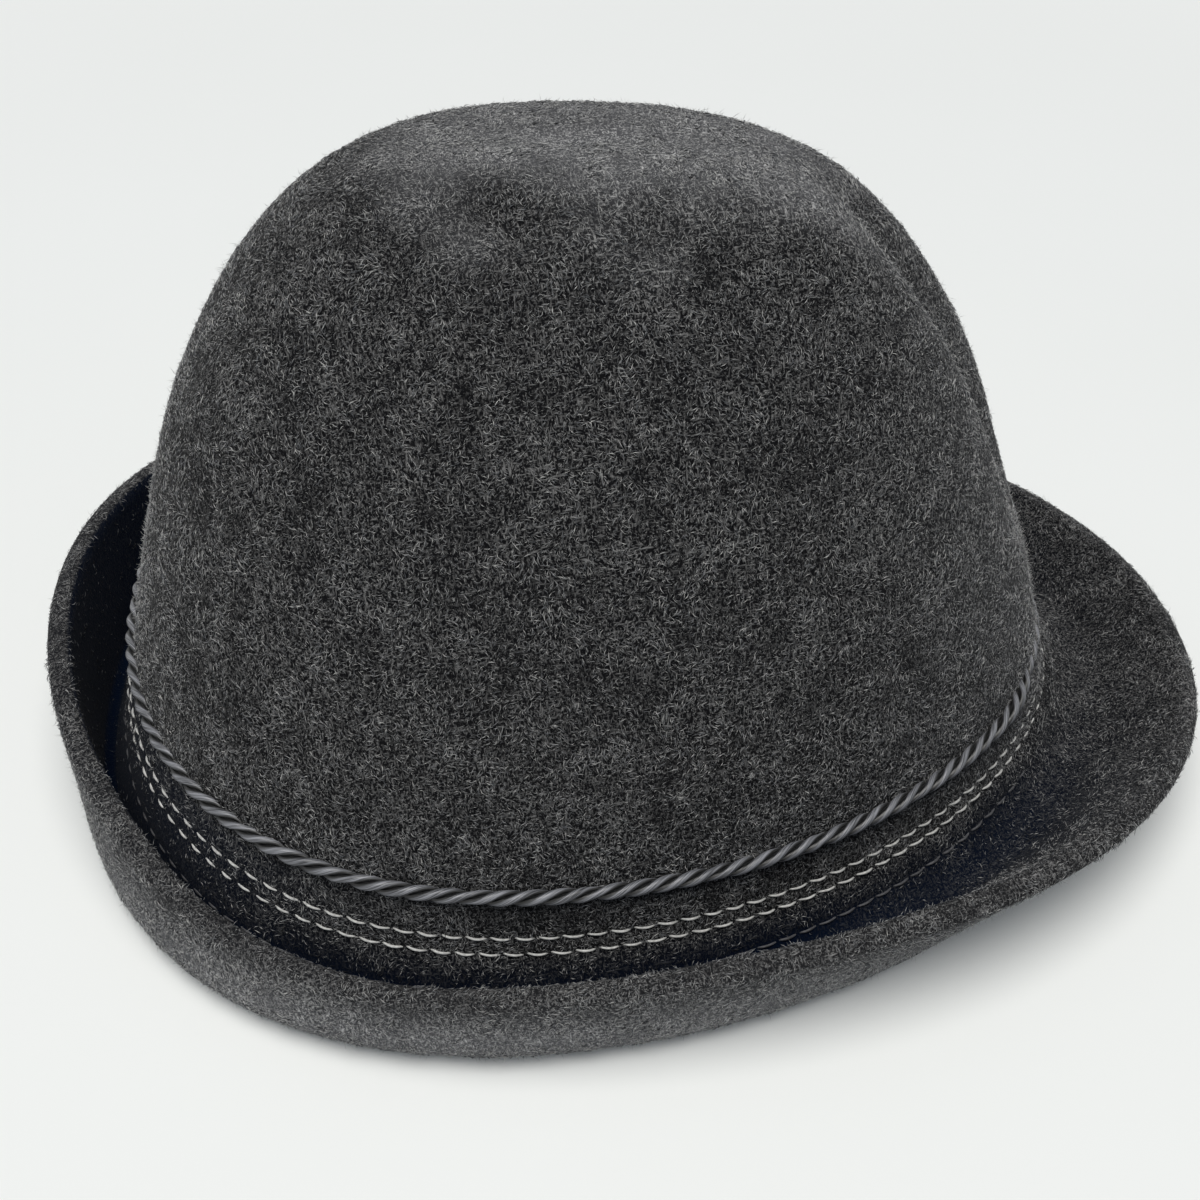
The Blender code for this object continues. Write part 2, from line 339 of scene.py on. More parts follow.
@dataclass
class HatBlock:
    """The shape that the felt is blocked to, in the solids' own measures.

    Angles run round the hat from its front towards the wearer's left. A rise is a share of the crown's height
    above the break line, where crown and brim meet.
    """

    front_reach: float = 0.1068
    back_reach: float = 0.1105
    half_width: float = 0.089
    oval_power: float = 2.12
    egg: float = 0.19
    felt: float = 0.0046
    crown_rise: float = 0.1285
    break_tilt: float = 0.0025
    band_tilt: float = 0.0064
    band_level: float = 0.0098
    break_saddle: float = 0.0021
    flare: float = 0.0050
    flare_rise: float = 0.014
    lean_back: float = 0.0035
    length_dome: tuple = (0.0, 1.16, 3.1)
    width_dome: tuple = (0.36, 2.0, 2.5)
    crease_depth: float = 0.0020
    groove_depth: float = 0.0062
    groove_top: tuple = (0.032, 0.062)
    crease_half: float = 0.0078
    crease_back: tuple = (-0.050, -0.018)
    crease_foot: tuple = (0.032, 0.068)
    crease_aim: float = math.radians(3.5)
    crease_pivot: float = -0.010
    bend_r: tuple = (0.0067, 0.0030, 0.0027, 0.0027, 0.0017, 0.0014, 0.0037, 0.0061)
    wall_lean: tuple = tuple(math.radians(d) for d in (49, 67, 86, 85, 85, 104, 92, 61))
    wall_l: tuple = (0.0183, 0.0141, 0.0143, 0.0146, 0.0277, 0.0151, 0.0145, 0.0217)
    offset: np.ndarray = field(default_factory=lambda: np.zeros(3))

    def share(self, height: float) -> float:
        """A height above the break line as a share of the crown's."""
        return height / self.crown_rise

    @staticmethod
    def around(angle: np.ndarray, stations: tuple) -> np.ndarray:
        """A value that runs smoothly through stations spaced evenly round the hat from its front.

        Args:
            angle: Angles round the hat.
            stations: The values there.

        Returns:
            The value at each angle.
        """
        count = len(stations)
        total = np.zeros_like(angle)
        for number, value in enumerate(stations):
            turn = angle - 2 * math.pi * number / count
            waves = sum(np.cos(order * turn) for order in range(1, count // 2))
            total = total + value * (1 + 2 * waves + np.cos(count // 2 * turn)) / count
        return total

    def plan(self, angle: np.ndarray) -> tuple[np.ndarray, np.ndarray]:
        """The break oval.

        Args:
            angle: Angles round the hat.

        Returns:
            X and Y in metres.
        """
        c, s = np.cos(angle), np.sin(angle)
        along = np.sign(c) * np.abs(c) ** (2 / self.oval_power)
        across = np.sign(s) * np.abs(s) ** (2 / self.oval_power)
        reach = np.where(c > 0, self.front_reach, self.back_reach)
        return reach * along, self.half_width * across * (1 - self.egg * along)

    def outward(self, angle: np.ndarray) -> np.ndarray:
        """Level unit normals of the break oval."""
        (x0, y0), (x1, y1) = self.plan(angle - 0.002), self.plan(angle + 0.002)
        return unit(np.stack([y1 - y0, x0 - x1, np.zeros_like(x0)], -1))

    def dip(self, angle: np.ndarray, rise: float | np.ndarray) -> np.ndarray:
        """How far a line round the crown lies below its mean height.

        Args:
            angle: Angles round the hat.
            rise: Share of the crown's height.

        Returns:
            The drop in metres.
        """
        banded = smooth_step(rise, 0.0, self.share(self.band_level))
        tilt = self.break_tilt + (self.band_tilt - self.break_tilt) * banded
        return (tilt * np.cos(angle) - self.break_saddle * np.cos(2 * angle)) * (1 - rise)

    @staticmethod
    def dome(rise: np.ndarray, taper: float, power: float, root: float) -> np.ndarray:
        """Share of the base size left at a rise."""
        return (1 - taper * rise) * np.maximum(1 - rise**power, 0) ** (1 / root)

    def smooth_crown(self, angle: np.ndarray, rise: float | np.ndarray) -> np.ndarray:
        """Points of the crown before it is creased.

        Args:
            angle: Angles round the hat.
            rise: Share of the crown's height.

        Returns:
            Places before the hat is set down.
        """
        angle, rise = np.broadcast_arrays(np.asarray(angle, float), np.asarray(rise, float))
        x, y = self.plan(angle)
        drawn = self.flare * (1 - np.exp(-self.crown_rise * rise / self.flare_rise))
        x = x * (1 - drawn / self.back_reach) * self.dome(rise, *self.length_dome)
        y = y * (1 - drawn / self.half_width) * self.dome(rise, *self.width_dome)
        return np.stack([x - self.lean_back * rise, y, self.crown_rise * rise - self.dip(angle, rise)], -1)

    def crown_normal(self, angle: np.ndarray, rise: float | np.ndarray) -> np.ndarray:
        """Outward unit normals of the uncreased crown.

        Args:
            angle: Angles round the hat.
            rise: Share of the crown's height.

        Returns:
            Directions of length 1.
        """
        low, high = np.maximum(rise - 0.004, 0.0), np.minimum(rise + 0.004, 0.9995)
        up = self.smooth_crown(angle, high) - self.smooth_crown(angle, low)
        along = self.smooth_crown(angle + 0.01, rise) - self.smooth_crown(angle - 0.01, rise)
        return unit(np.cross(along, up))

    def crown(self, angle: np.ndarray, rise: float, lift: float | np.ndarray = 0.0) -> np.ndarray:
        """Points on the creased crown, or off it.

        Args:
            angle: Angles round the hat.
            rise: Share of the crown's height.
            lift: Distance off it along its normal.

        Returns:
            Places before the hat is set down.
        """
        p = self.smooth_crown(angle, rise)
        aside = p[..., 1] + math.tan(self.crease_aim) * (p[..., 0] - self.crease_pivot)
        depth = self.crease_depth + (self.groove_depth - self.crease_depth) * smooth_step(p[..., 0], *self.groove_top)
        crease = depth * np.exp(-((aside / self.crease_half) ** 2))
        crease = crease * smooth_step(p[..., 2], *self.crease_foot) * smooth_step(p[..., 0], *self.crease_back)
        return p + self.crown_normal(angle, rise) * (lift - crease)[..., None]

    def break_slope(self, angle: np.ndarray) -> np.ndarray:
        """Angle below level at which the crown's wall runs into the brim."""
        wall = self.smooth_crown(angle, 0.0) - self.smooth_crown(angle, 0.002)
        return np.arctan2(-wall[..., 2], (wall * self.outward(angle)).sum(-1))

    def brim(self, angle: np.ndarray, turn: float, run: float | np.ndarray) -> np.ndarray:
        """Points of the brim's upper face.

        Args:
            angle: Angles round the hat.
            turn: Share of the bend that is passed.
            run: Distance up the wall after the bend, as a share of it.

        Returns:
            Places before the hat is set down.
        """
        radius, lean, length = (self.around(angle, v) for v in (self.bend_r, self.wall_lean, self.wall_l))
        slope = self.break_slope(angle)
        lowest = np.linspace(0, 2 * math.pi, 361)
        drop = self.around(lowest, self.bend_r) * (1 - np.cos(self.break_slope(lowest)))
        depth = float((self.dip(lowest, 0.0) + drop).max())
        straight = (depth - self.dip(angle, 0.0) - radius * (1 - np.cos(slope))) / np.sin(slope)
        at = -slope + turn * (slope + lean)
        out = straight * np.cos(slope) + radius * (np.sin(at) + np.sin(slope)) + run * length * np.cos(lean)
        up = run * length * np.sin(lean) - straight * np.sin(slope) - radius * (np.cos(at) - np.cos(slope))
        climb = up[..., None] * np.array([0.0, 0.0, 1.0])
        return self.smooth_crown(angle, 0.0) + self.outward(angle) * out[..., None] + climb

    def stand(self, node: str, height: float, lift: float) -> None:
        """Sets the hat down where its solids are.

        Args:
            node: A solid that runs round the crown.
            height: Height of its middle line above the break line.
            lift: Distance of that line off the felt.
        """
        angle = np.linspace(0, 2 * math.pi, 1441)
        line = self.crown(angle, self.share(height), lift)
        low, high = (np.array(corner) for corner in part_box(node))
        self.offset = (low + high) / 2 - (line.min(0) + line.max(0)) / 2

    def on_crown(self, angle: np.ndarray, height: float, lift: float | np.ndarray = 0.0) -> np.ndarray:
        """Points on the crown's face of the hat as it stands, at a height above the break line."""
        return self.crown(angle, self.share(height), lift) + self.offset

    def facing(self, angle: np.ndarray, height: float) -> np.ndarray:
        """Outward unit normals at those points."""
        return self.crown_normal(angle, self.share(height))


@dataclass(frozen=True)
class Nap:
    """One batch of loose fibres on the felt: their colour, seed, number and how they lie."""

    name: str
    colour: str
    seed: int
    per_square_mm: float
    long: float = 1.0
    wide: float = 1.0
    rise: float = 0.16
    # How much a batch thickens where the felt is painted paler (wear and painted light), and thins where painted shade
    # lies in the brim's fold, so the fibres carry the painted light and shade too.
    raised_where_worn_and_lit: float = 0.5
    thinned_in_shade: float = 1.06


@dataclass(frozen=True)
class FeltFinish:
    """Melange wool felt: dyed and undyed fibres matted together, then given a brushing.

    The eye sees a dark grey made of fine pale and dark hairs that lie every way, lighter where it is seen edge on.
    """

    dark: str = "#111113"
    pale: str = "#7c7b7a"
    # Paler felt, mixed in partly for rubbing wear and partly as painted light: on the tip and front where they face up
    # and towards the front, and on the brim's outer face as painted bounce light towards the table.
    brushed: str = "#d6d5d4"
    brushed_and_lit_dark: str = "#5a5a5c"
    # Painted shade: the dark blue mixed in where shade falls deep in the brim's fold.
    fold: str = "#040e1f"
    streak_long: float = 2.0 * MM
    streak_wide: float = 0.42 * MM
    mottle: float = 9 * MM
    lays: tuple = ((0, 0, 0.2), (0, 0.5, 1.1), (0, -0.6, 2.0), (0, 1.3, 0.5), (0, 0.9, 2.7), (0, -1.0, 1.6))

    def build(self) -> Material:
        """Makes the material.

        Returns:
            Felt with streaks of fibre in its colour and bump.
        """
        made, tree, shader = new_finish("melange_wool_felt")
        place = own_place(tree)
        size = (self.streak_long, self.streak_wide, self.streak_wide)
        hairs = []
        for lay in self.lays:
            turned = add_node(
                tree, "ShaderNodeMapping", {"Vector": place, "Rotation": lay, "Scale": size}, vector_type="TEXTURE"
            )
            hairs.append(cloud(tree, turned.outputs[0], 1.0, 1.0))
        tone = hairs[0]
        for hair in hairs[1:]:
            tone = calc(tree, "MAXIMUM", tone, hair)
        lit = spread(tree, tone, 0.60, 0.80)
        patchy = spread(tree, cloud(tree, place, 1 / self.mottle, 3.0), 0.3, 0.7, to_min=0.5, to_max=1.5)
        strength = calc(tree, "MULTIPLY", lit, patchy, use_clamp=True)
        # Two point layers paint into the colour: one mixes in paler felt, partly wear and partly painted light; the
        # other mixes in the fold colour as painted shade.
        rubbed_and_lit, folded = (
            add_node(tree, "ShaderNodeAttribute", attribute_name=name).outputs["Fac"] for name in ("brushed", "folded")
        )
        pale = mix(tree, rubbed_and_lit, self.pale, self.brushed)
        ground = mix(tree, rubbed_and_lit, self.dark, self.brushed_and_lit_dark)
        worn = mix(tree, strength, ground, pale)
        values = {"Base Color": mix(tree, folded, worn, self.fold), "Normal": relief(tree, lit, 0.8, 0.25 * MM)}
        values |= {"Roughness": 0.95, "Specular IOR Level": 0.05, "Sheen Weight": 0.03, "Sheen Roughness": 0.4}
        feed(tree, shader, values)
        return made


@dataclass(frozen=True)
class FibreFinish:
    """A single wool fibre: one dye all along it, dull, with a soft sheen."""

    name: str
    colour: str

    def build(self) -> Material:
        """Makes the fibre's material: one plain colour, because a fibre has one dye.

        Returns:
            The fibre.
        """
        made, tree, shader = new_finish(self.name)
        values = {"Base Color": linear(self.colour), "Roughness": 0.7, "Specular IOR Level": 0.10}
        feed(tree, shader, values | {"Sheen Weight": 0.12, "Sheen Roughness": 0.5})
        return made


@dataclass(frozen=True)
class SatinFinish:
    """Viscose satin strand: smooth parallel filaments, so long soft highlights with fine lines along them."""

    dark: str = "#25262a"
    pale: str = "#8b8c91"
    # Painted shade where each strand runs in under its neighbours.
    crease: str = "#040405"
    filament: float = 0.36

    def build(self) -> Material:
        """Makes the material, with filaments that follow each strand's own map.

        Returns:
            The satin.
        """
        made, tree, shader = new_finish("viscose_satin_strand")
        along = add_node(tree, "ShaderNodeUVMap", uv_map="strand").outputs[0]
        stretched = add_node(
            tree, "ShaderNodeMapping", {"Vector": along, "Rotation": (0, 0, 0.25), "Scale": (9.0, 0.9, 1.0)}
        ).outputs[0]
        lines = spread(tree, cloud(tree, stretched, 1 / self.filament, 2.0), 0.36, 0.62)
        # Painted shade: each strand is painted dark away from its crest, towards where it meets its neighbours.
        round_it = add_node(tree, "ShaderNodeSeparateXYZ", {0: along}).outputs[0]
        crease_shade = spread(tree, calc(tree, "PINGPONG", round_it, 0.5), 0.11, 0.22)
        colour = mix(tree, crease_shade, mix(tree, lines, self.dark, self.pale), self.crease)
        values = {"Base Color": colour, "Normal": relief(tree, lines, 0.35, 0.06 * MM)}
        feed(tree, shader, values | {"Roughness": 0.34, "Specular IOR Level": 0.5, "Sheen Weight": 0.08})
        return made


@dataclass(frozen=True)
class ThreadFinish:
    """Spun polyester sewing thread: a dull ply with a little fuzz and slight changes of tone."""

    name: str
    dark: str
    pale: str

    def build(self) -> Material:
        """Makes the material.

        Returns:
            The thread, mottled by its ply.
        """
        made, tree, shader = new_finish(self.name)
        ply = cloud(tree, own_place(tree), 1 / (0.7 * MM), 2.0)
        colour = mix(tree, spread(tree, ply, 0.3, 0.7), self.dark, self.pale)
        values = {"Base Color": colour, "Normal": relief(tree, ply, 0.4, 0.08 * MM)}
        feed(tree, shader, values | {"Roughness": 0.6, "Sheen Weight": 0.15})
        return made


@dataclass(frozen=True)
class LeatherFinish:
    """Skived sheepskin, dyed black and pressed smooth: fine pebbled grain with a low shine."""

    colour: str = "#211d1b"
    worn: str = "#332c28"
    grain: float = 0.9 * MM

    def build(self) -> Material:
        """Makes the material.

        Returns:
            The leather, with its grain and wear.
        """
        made, tree, shader = new_finish("skived_sheepskin")
        place = own_place(tree)
        cells = add_node(
            tree, "ShaderNodeTexVoronoi", {"Vector": place, "Scale": 1 / self.grain}, feature="DISTANCE_TO_EDGE"
        ).outputs["Distance"]
        pebble = spread(tree, cells, 0.0, 0.35)
        wear = spread(tree, cloud(tree, place, 1 / (14 * MM), 4.0), 0.35, 0.75)
        values = {
            "Base Color": mix(tree, wear, self.colour, self.worn),
            "Roughness": spread(tree, wear, 0.0, 1.0, to_min=0.42, to_max=0.62),
            "Normal": relief(tree, pebble, 0.5, 0.12 * MM),
        }
        feed(tree, shader, values)
        return made


@dataclass(frozen=True)
class WovenFinish:
    """Cotton tape: a plain weave whose ribs show as fine cross lines."""

    name: str = "cotton_tape"
    dark: str = "#121214"
    pale: str = "#2b2b2f"
    rib: float = 0.8 * MM

    def build(self) -> Material:
        """Makes the material, with ribs that run along the piece's own map.

        Returns:
            The tape.
        """
        made, tree, shader = new_finish(self.name)
        along = add_node(tree, "ShaderNodeUVMap", uv_map="weave").outputs[0]
        rib = add_node(
            tree, "ShaderNodeTexWave", {"Vector": along, "Scale": 0.314 / self.rib, "Distortion": 0.6}
        ).outputs["Fac"]
        values = {"Base Color": mix(tree, rib, self.dark, self.pale), "Normal": relief(tree, rib, 0.5, 0.1 * MM)}
        feed(tree, shader, values | {"Roughness": 0.8})
        return made


def node_group(name: str, inputs: dict[str, str]) -> tuple[NodeTree, Node]:
    """Starts a geometry tree with named inputs.

    Args:
        name: The tree's name.
        inputs: Input names and the ends of their socket types, besides the geometry.

    Returns:
        The tree and its input node.
    """
    tree = bpy.data.node_groups.new(name, "GeometryNodeTree")
    for label, kind in ({"Geometry": "Geometry"} | inputs).items():
        tree.interface.new_socket(label, in_out="INPUT", socket_type="NodeSocket" + kind)
    tree.interface.new_socket("Geometry", in_out="OUTPUT", socket_type="NodeSocketGeometry")
    return tree, add_node(tree, "NodeGroupInput")


def turned(tree: NodeTree, rotation: NodeSocket, euler: NodeSocket) -> NodeSocket:
    """A rotation turned further by Euler angles about its own axes."""
    turn = add_node(tree, "FunctionNodeEulerToRotation", {0: euler}).outputs[0]
    return add_node(tree, "FunctionNodeRotateRotation", {0: rotation, 1: turn}, rotation_space="LOCAL").outputs[0]


def chance(tree: NodeTree, low: Any, high: Any, seed: NodeSocket, vector: bool = False) -> NodeSocket:
    """A random number between two for each point, or a vector between two.

    Args:
        tree: The tree that takes the node.
        low: The least value.
        high: The greatest.
        seed: The output that seeds it.
        vector: True for a vector.

    Returns:
        The random output.
    """
    first, kind = (0, "FLOAT_VECTOR") if vector else (2, "FLOAT")
    node = add_node(tree, "FunctionNodeRandomValue", {first: low, first + 1: high, 8: seed}, data_type=kind)
    return node.outputs[first // 2]


def close_group(tree: NodeTree, placing: dict, finish: NodeSocket) -> None:
    """Ends a tree: sets instances on its points, makes them real, gives them their finish and sends them out.

    Args:
        tree: The tree.
        placing: Inputs of the node that sets the instances.
        finish: The material's output.
    """
    placed = add_node(tree, "GeometryNodeInstanceOnPoints", placing).outputs[0]
    real = add_node(tree, "GeometryNodeRealizeInstances", {"Geometry": placed}).outputs[0]
    dressed = add_node(tree, "GeometryNodeSetMaterial", {"Geometry": real, "Material": finish}).outputs[0]
    add_node(tree, "NodeGroupOutput", {"Geometry": dressed})


def realised(base: Object, tree: NodeTree, values: dict[str, Any]) -> Object:
    """Runs a tree on an object and swaps the object's mesh for the result.

    Args:
        base: The object that carries the points or surface.
        tree: The tree.
        values: The tree's named inputs.

    Returns:
        The same object, as a plain mesh with no modifier.
    """
    modifier = base.modifiers.new(tree.name, "NODES")
    modifier.node_group = tree
    sockets = {s.name: s.identifier for s in tree.interface.items_tree if s.in_out == "INPUT"}
    for name, value in values.items():
        modifier[sockets[name]] = value
    graph = bpy.context.evaluated_depsgraph_get()
    mesh = bpy.data.meshes.new_from_object(base.evaluated_get(graph), depsgraph=graph)
    mesh.materials.clear()
    mesh.materials.append(values["Finish"])
    base.modifiers.remove(modifier)
    old, base.data = base.data, mesh
    mesh.name = base.name
    bpy.data.meshes.remove(old)
    return base


def row_tree() -> NodeTree:
    """Makes the tree that sets one shape on each point, along the point's tangent and outward directions.

    Returns:
        The tree, with the shape, its slant, a seed and a finish as inputs.
    """
    kinds = {"Shape": "Object", "Slant": "Float", "Seed": "Int", "Finish": "Material"}
    tree, entry = node_group("sewn_row", kinds)
    given = entry.outputs
    tangent, outward = (
        add_node(tree, "GeometryNodeInputNamedAttribute", {"Name": name}, data_type="FLOAT_VECTOR").outputs[0]
        for name in ("tangent", "outward")
    )
    axes = {"Primary Axis": outward, "Secondary Axis": tangent}
    aligned = add_node(tree, "FunctionNodeAxesToRotation", axes, primary_axis="Z", secondary_axis="X").outputs[0]
    sway = chance(tree, -0.05, 0.05, given["Seed"])
    euler = add_node(tree, "ShaderNodeCombineXYZ", {"Z": calc(tree, "ADD", sway, given["Slant"])}).outputs[0]
    info = add_node(tree, "GeometryNodeObjectInfo", {"Object": given["Shape"], "As Instance": True})
    placing = {
        "Points": given["Geometry"],
        "Instance": info.outputs["Geometry"],
        "Rotation": turned(tree, aligned, euler),
        "Scale": chance(tree, (0.94, 0.9, 0.85), (1.05, 1.1, 1.15), given["Seed"], vector=True),
    }
    close_group(tree, placing, given["Finish"])
    return tree


def nap_tree() -> NodeTree:
    """Makes the tree that strews fibres over a skin, each lying its own way.

    Returns:
        The tree, with the fibres, their number, their lie and a finish as inputs.
    """
    kinds = {"Density": "Float", "Seed": "Int"} | dict.fromkeys(("Long", "Wide", "Rise", "Clumps", "Swirls"), "Float")
    tree, entry = node_group("nap", kinds | {"Fibres": "Collection", "Finish": "Material"})
    given = entry.outputs
    thick = add_node(tree, "GeometryNodeInputNamedAttribute", {"Name": "thick"}, data_type="FLOAT").outputs[0]
    density = calc(tree, "MULTIPLY", thick, given["Density"])
    ground = {"Mesh": given["Geometry"], "Density": density, "Seed": given["Seed"]}
    strewn = add_node(tree, "GeometryNodeDistributePointsOnFaces", ground, distribute_method="RANDOM").outputs
    up = calc(tree, "MULTIPLY", given["Rise"], -1.0)
    least = add_node(tree, "ShaderNodeCombineXYZ", {"X": -0.6, "Y": up, "Z": -1.25}).outputs[0]
    loose = chance(tree, least, (0.6, 0.06, 1.25), given["Seed"], vector=True)
    place = add_node(tree, "GeometryNodeInputPosition").outputs[0]
    way = calc(tree, "MULTIPLY", cloud(tree, place, given["Swirls"], 1.0), 6 * math.pi)
    combed = add_node(tree, "ShaderNodeCombineXYZ", {"Z": way}).outputs[0]
    lie = add_node(tree, "ShaderNodeVectorMath", {0: loose, 1: combed}, operation="ADD").outputs[0]
    grown = chance(tree, 0.40, 1.40, given["Seed"])
    clump = spread(tree, cloud(tree, place, given["Clumps"], 2.0), 0.32, 0.68, to_min=0.55, to_max=1.45)
    length = calc(tree, "MULTIPLY", calc(tree, "MULTIPLY", grown, given["Long"]), clump)
    width = calc(tree, "MULTIPLY", given["Wide"], clump)
    size = add_node(tree, "ShaderNodeCombineXYZ", {"X": length, "Y": width, "Z": width}).outputs[0]
    picked = {"Collection": given["Fibres"], "Separate Children": True, "Reset Children": True}
    placing = {
        "Points": strewn["Points"],
        "Instance": add_node(tree, "GeometryNodeCollectionInfo", picked).outputs[0],
        "Pick Instance": True,
        "Rotation": turned(tree, strewn["Rotation"], lie),
        "Scale": size,
    }
    close_group(tree, placing, given["Finish"])
    return tree


@dataclass
class FeltBody:
    """The felt: crown and brim in one skin with its thickness, its raw cut edge and its nap."""

    block: HatBlock
    steps: int = 240
    tip_rows: int = 54
    band_rows: int = 40
    band_top: float = 0.036
    bend_rows: int = 14
    wall_rows: int = 9
    edge_rows: int = 7
    edge_round: float = 0.0009
    grooves: tuple = (0.0098, 0.0068, 0.0)
    groove_depth: float = 0.00030
    groove_half: float = 0.0010
    wave: float = 0.00045
    wave_pitch: float = 0.034
    wave_rise: tuple = (0.24, 0.42)
    dents: tuple = (
        ((-0.0260, -0.0205, 0.1300), 0.0095, 0.0020),
        ((0.0030, -0.0225, 0.1285), 0.0100, 0.0015),
    )
    fibre_long: float = 1.25 * MM
    fibre_r: float = 0.074 * MM
    fibre_bends: tuple = ((0.02, 0.07), (0.09, 0.06), (-0.09, 0.07), (0.17, 0.09), (-0.17, 0.10))
    clump: float = 4.5 * MM
    swirl: float = 16 * MM
    bare_below: tuple = (0.0010, 0.0028)
    # Paler felt, partly rubbing wear and partly painted light: the tip and the front are painted lighter where they
    # face up and towards the front, with small random patches; the brim's outer face is painted lighter towards the
    # table as painted bounce light; the cut edge takes a little wear.
    tip_wear_and_light: float = 0.70
    tip_turn: tuple = (0.73, 0.985)
    front_wear_and_light: float = 0.24
    front_turn: tuple = (0.35, 0.95)
    lit_and_worn_side: tuple = (0.25, 0.0, 0.97)
    worn_patch: float = 0.009
    patchiness: float = 0.06
    edge_wear: float = 0.08
    wall_wear_and_bounce: tuple = (0.15, 1.0)
    # Painted shade in the brim's fold: rows just above the break darken into it, the brim's wall shades from the bend
    # towards its rim, and the shade opens towards the front and climbs the crown at the back.
    dark_rows: int = 8
    dark_top: float = 0.12
    rim_shade: tuple = (0.6, 0.35)
    edge_shade: float = 0.1
    fold_opens: tuple = ((0.30, 0.25, 0.60), (0.55, 0.75, 1.02))
    climb_rows: int = 18
    climb_top: float = 0.45
    climb_turn: tuple = (0.35, 0.85)
    least_z: float = 0.0002
    bed: tuple = ()

    def outer_rows(self) -> tuple[np.ndarray, np.ndarray]:
        """The outer face from the tip's first ring to the brim's edge.

        Returns:
            Places by row and step, and how much each row may wander from the block's shape.
        """
        block = self.block
        angle = full_turn(self.steps)
        _, power, root = block.length_dome
        top = block.share(self.band_top)
        widest = float(block.dome(np.array(top), 0.0, power, root))
        sizes = widest * np.sin(np.pi / 2 * np.arange(4, self.tip_rows + 4) / (self.tip_rows + 3))
        rises = np.append((1 - sizes**root) ** (1 / power), np.linspace(top, 0.0, self.band_rows + 1)[1:])
        rows = [block.crown(angle, rise) for rise in rises]
        loose = list(smooth_step(rises, *self.wave_rise))
        for turn in np.arange(1, self.bend_rows + 1) / self.bend_rows:
            rows.append(block.brim(angle, turn, 0.0))
            loose.append(0.0)
        short = 1 - self.edge_round / block.around(angle, block.wall_l)
        for run in np.arange(1, self.wall_rows + 1) / self.wall_rows:
            rows.append(block.brim(angle, 1.0, run * short))
            loose.append(float(run) ** 2)
        grooved = []
        for row, rise in zip(rows, rises):
            height = rise * block.crown_rise
            sunk = self.groove_depth * sum(math.exp(-(((height - g) / self.groove_half) ** 2)) for g in self.grooves)
            grooved.append(row - block.crown_normal(angle, rise) * sunk)
        return np.array(grooved + rows[len(rises) :]), np.array(loose)

    @staticmethod
    def normals(rows: np.ndarray) -> np.ndarray:
        """Unit normals of a skin of rows, out of the crown.

        Args:
            rows: Places by row and step.

        Returns:
            Directions by row and step.
        """
        along = np.gradient(rows, axis=0)
        across = np.roll(rows, -1, 1) - np.roll(rows, 1, 1)
        return unit(np.cross(along, across))

    def hand_shaped(self, rows: np.ndarray, loose: np.ndarray) -> np.ndarray:
        """Adds the dents and slow waves that handling leaves in felt.

        Args:
            rows: Places by row and step.
            loose: How much each row may wander.

        Returns:
            The moved places.
        """
        normal = self.normals(rows)
        moved = np.zeros(rows.shape[:2])
        standing = rows + self.block.offset
        for place, radius, depth in self.dents:
            away = ((standing - np.array(place)) ** 2).sum(-1)
            moved -= depth * np.exp(-away / radius**2)
        flat = standing.reshape(-1, 3) / self.wave_pitch
        slow = np.array([noise.noise(Vector(p)) for p in flat]).reshape(moved.shape)
        moved += self.wave * slow * loose[:, None]
        return rows + normal * moved[..., None]

    def skin(self) -> tuple[np.ndarray, np.ndarray, np.ndarray]:
        """Outer face, cut edge and inner face in one run of rows.

        Returns:
            Places, how much paler the felt is painted for wear and painted light, and how much painted shade it takes
            in the brim's fold, by row and step.
        """
        rows = self.hand_shaped(*self.outer_rows())
        normal = self.normals(rows)
        inner = rows - self.block.felt * normal
        up = unit(rows[-1] - rows[-2])
        across = np.linspace(0, 1, self.edge_rows + 2)[1:-1]
        bulge = 1 - np.abs(2 * across - 1) ** 3
        edge = [rows[-1] - self.block.felt * s * normal[-1] + up * self.edge_round * b for s, b in zip(across, bulge)]
        whole = np.concatenate([rows, np.array(edge), inner[::-1]]) + self.block.offset
        whole[..., 2] = np.maximum(whole[..., 2], self.least_z)
        return whole, self.wear(whole, normal), self.shade(whole)

    def wear(self, whole: np.ndarray, normal: np.ndarray) -> np.ndarray:
        """How much paler the felt is painted: on the tip and the front, painted light where they face up and towards
        the front, with some rubbing wear; a little wear on the cut edge; on the brim's outer face paler nap that is
        painted lighter towards the table as painted bounce light.

        Args:
            whole: Places by row and step.
            normal: Unit normals of the outer face's rows.

        Returns:
            A share from 0 to 1 by row and step.
        """
        brushed = np.zeros(whole.shape[:2])
        outer = len(normal) + self.edge_rows
        bend = outer + self.wall_rows
        brushed[len(normal) - 1 : outer] = self.edge_wear
        # Painted bounce light: the brim's outer face grows paler from its rim down to the bend at the table.
        brushed[outer:bend] = np.linspace(*self.wall_wear_and_bounce, self.wall_rows)[:, None]
        brushed[bend : bend + self.bend_rows] = self.wall_wear_and_bounce[1]
        # Painted light on the tip where it faces up and a little to the front, with small random patches.
        tip = slice(0, self.tip_rows)
        patch = np.array([noise.noise(Vector(p) / self.worn_patch) for p in whole[tip].reshape(-1, 3)])
        turned_up = normal[tip] @ np.array(self.lit_and_worn_side) + self.patchiness * patch.reshape(-1, self.steps)
        brushed[tip] = self.tip_wear_and_light * smooth_step(turned_up, *self.tip_turn)
        # Painted light on the crown where it faces the front, kept off the rows in the fold's painted shade.
        crown = slice(0, self.tip_rows + self.band_rows - self.dark_rows)
        front = self.front_wear_and_light * smooth_step(normal[crown, :, 0], *self.front_turn)
        brushed[crown] = np.maximum(brushed[crown], front)
        return brushed

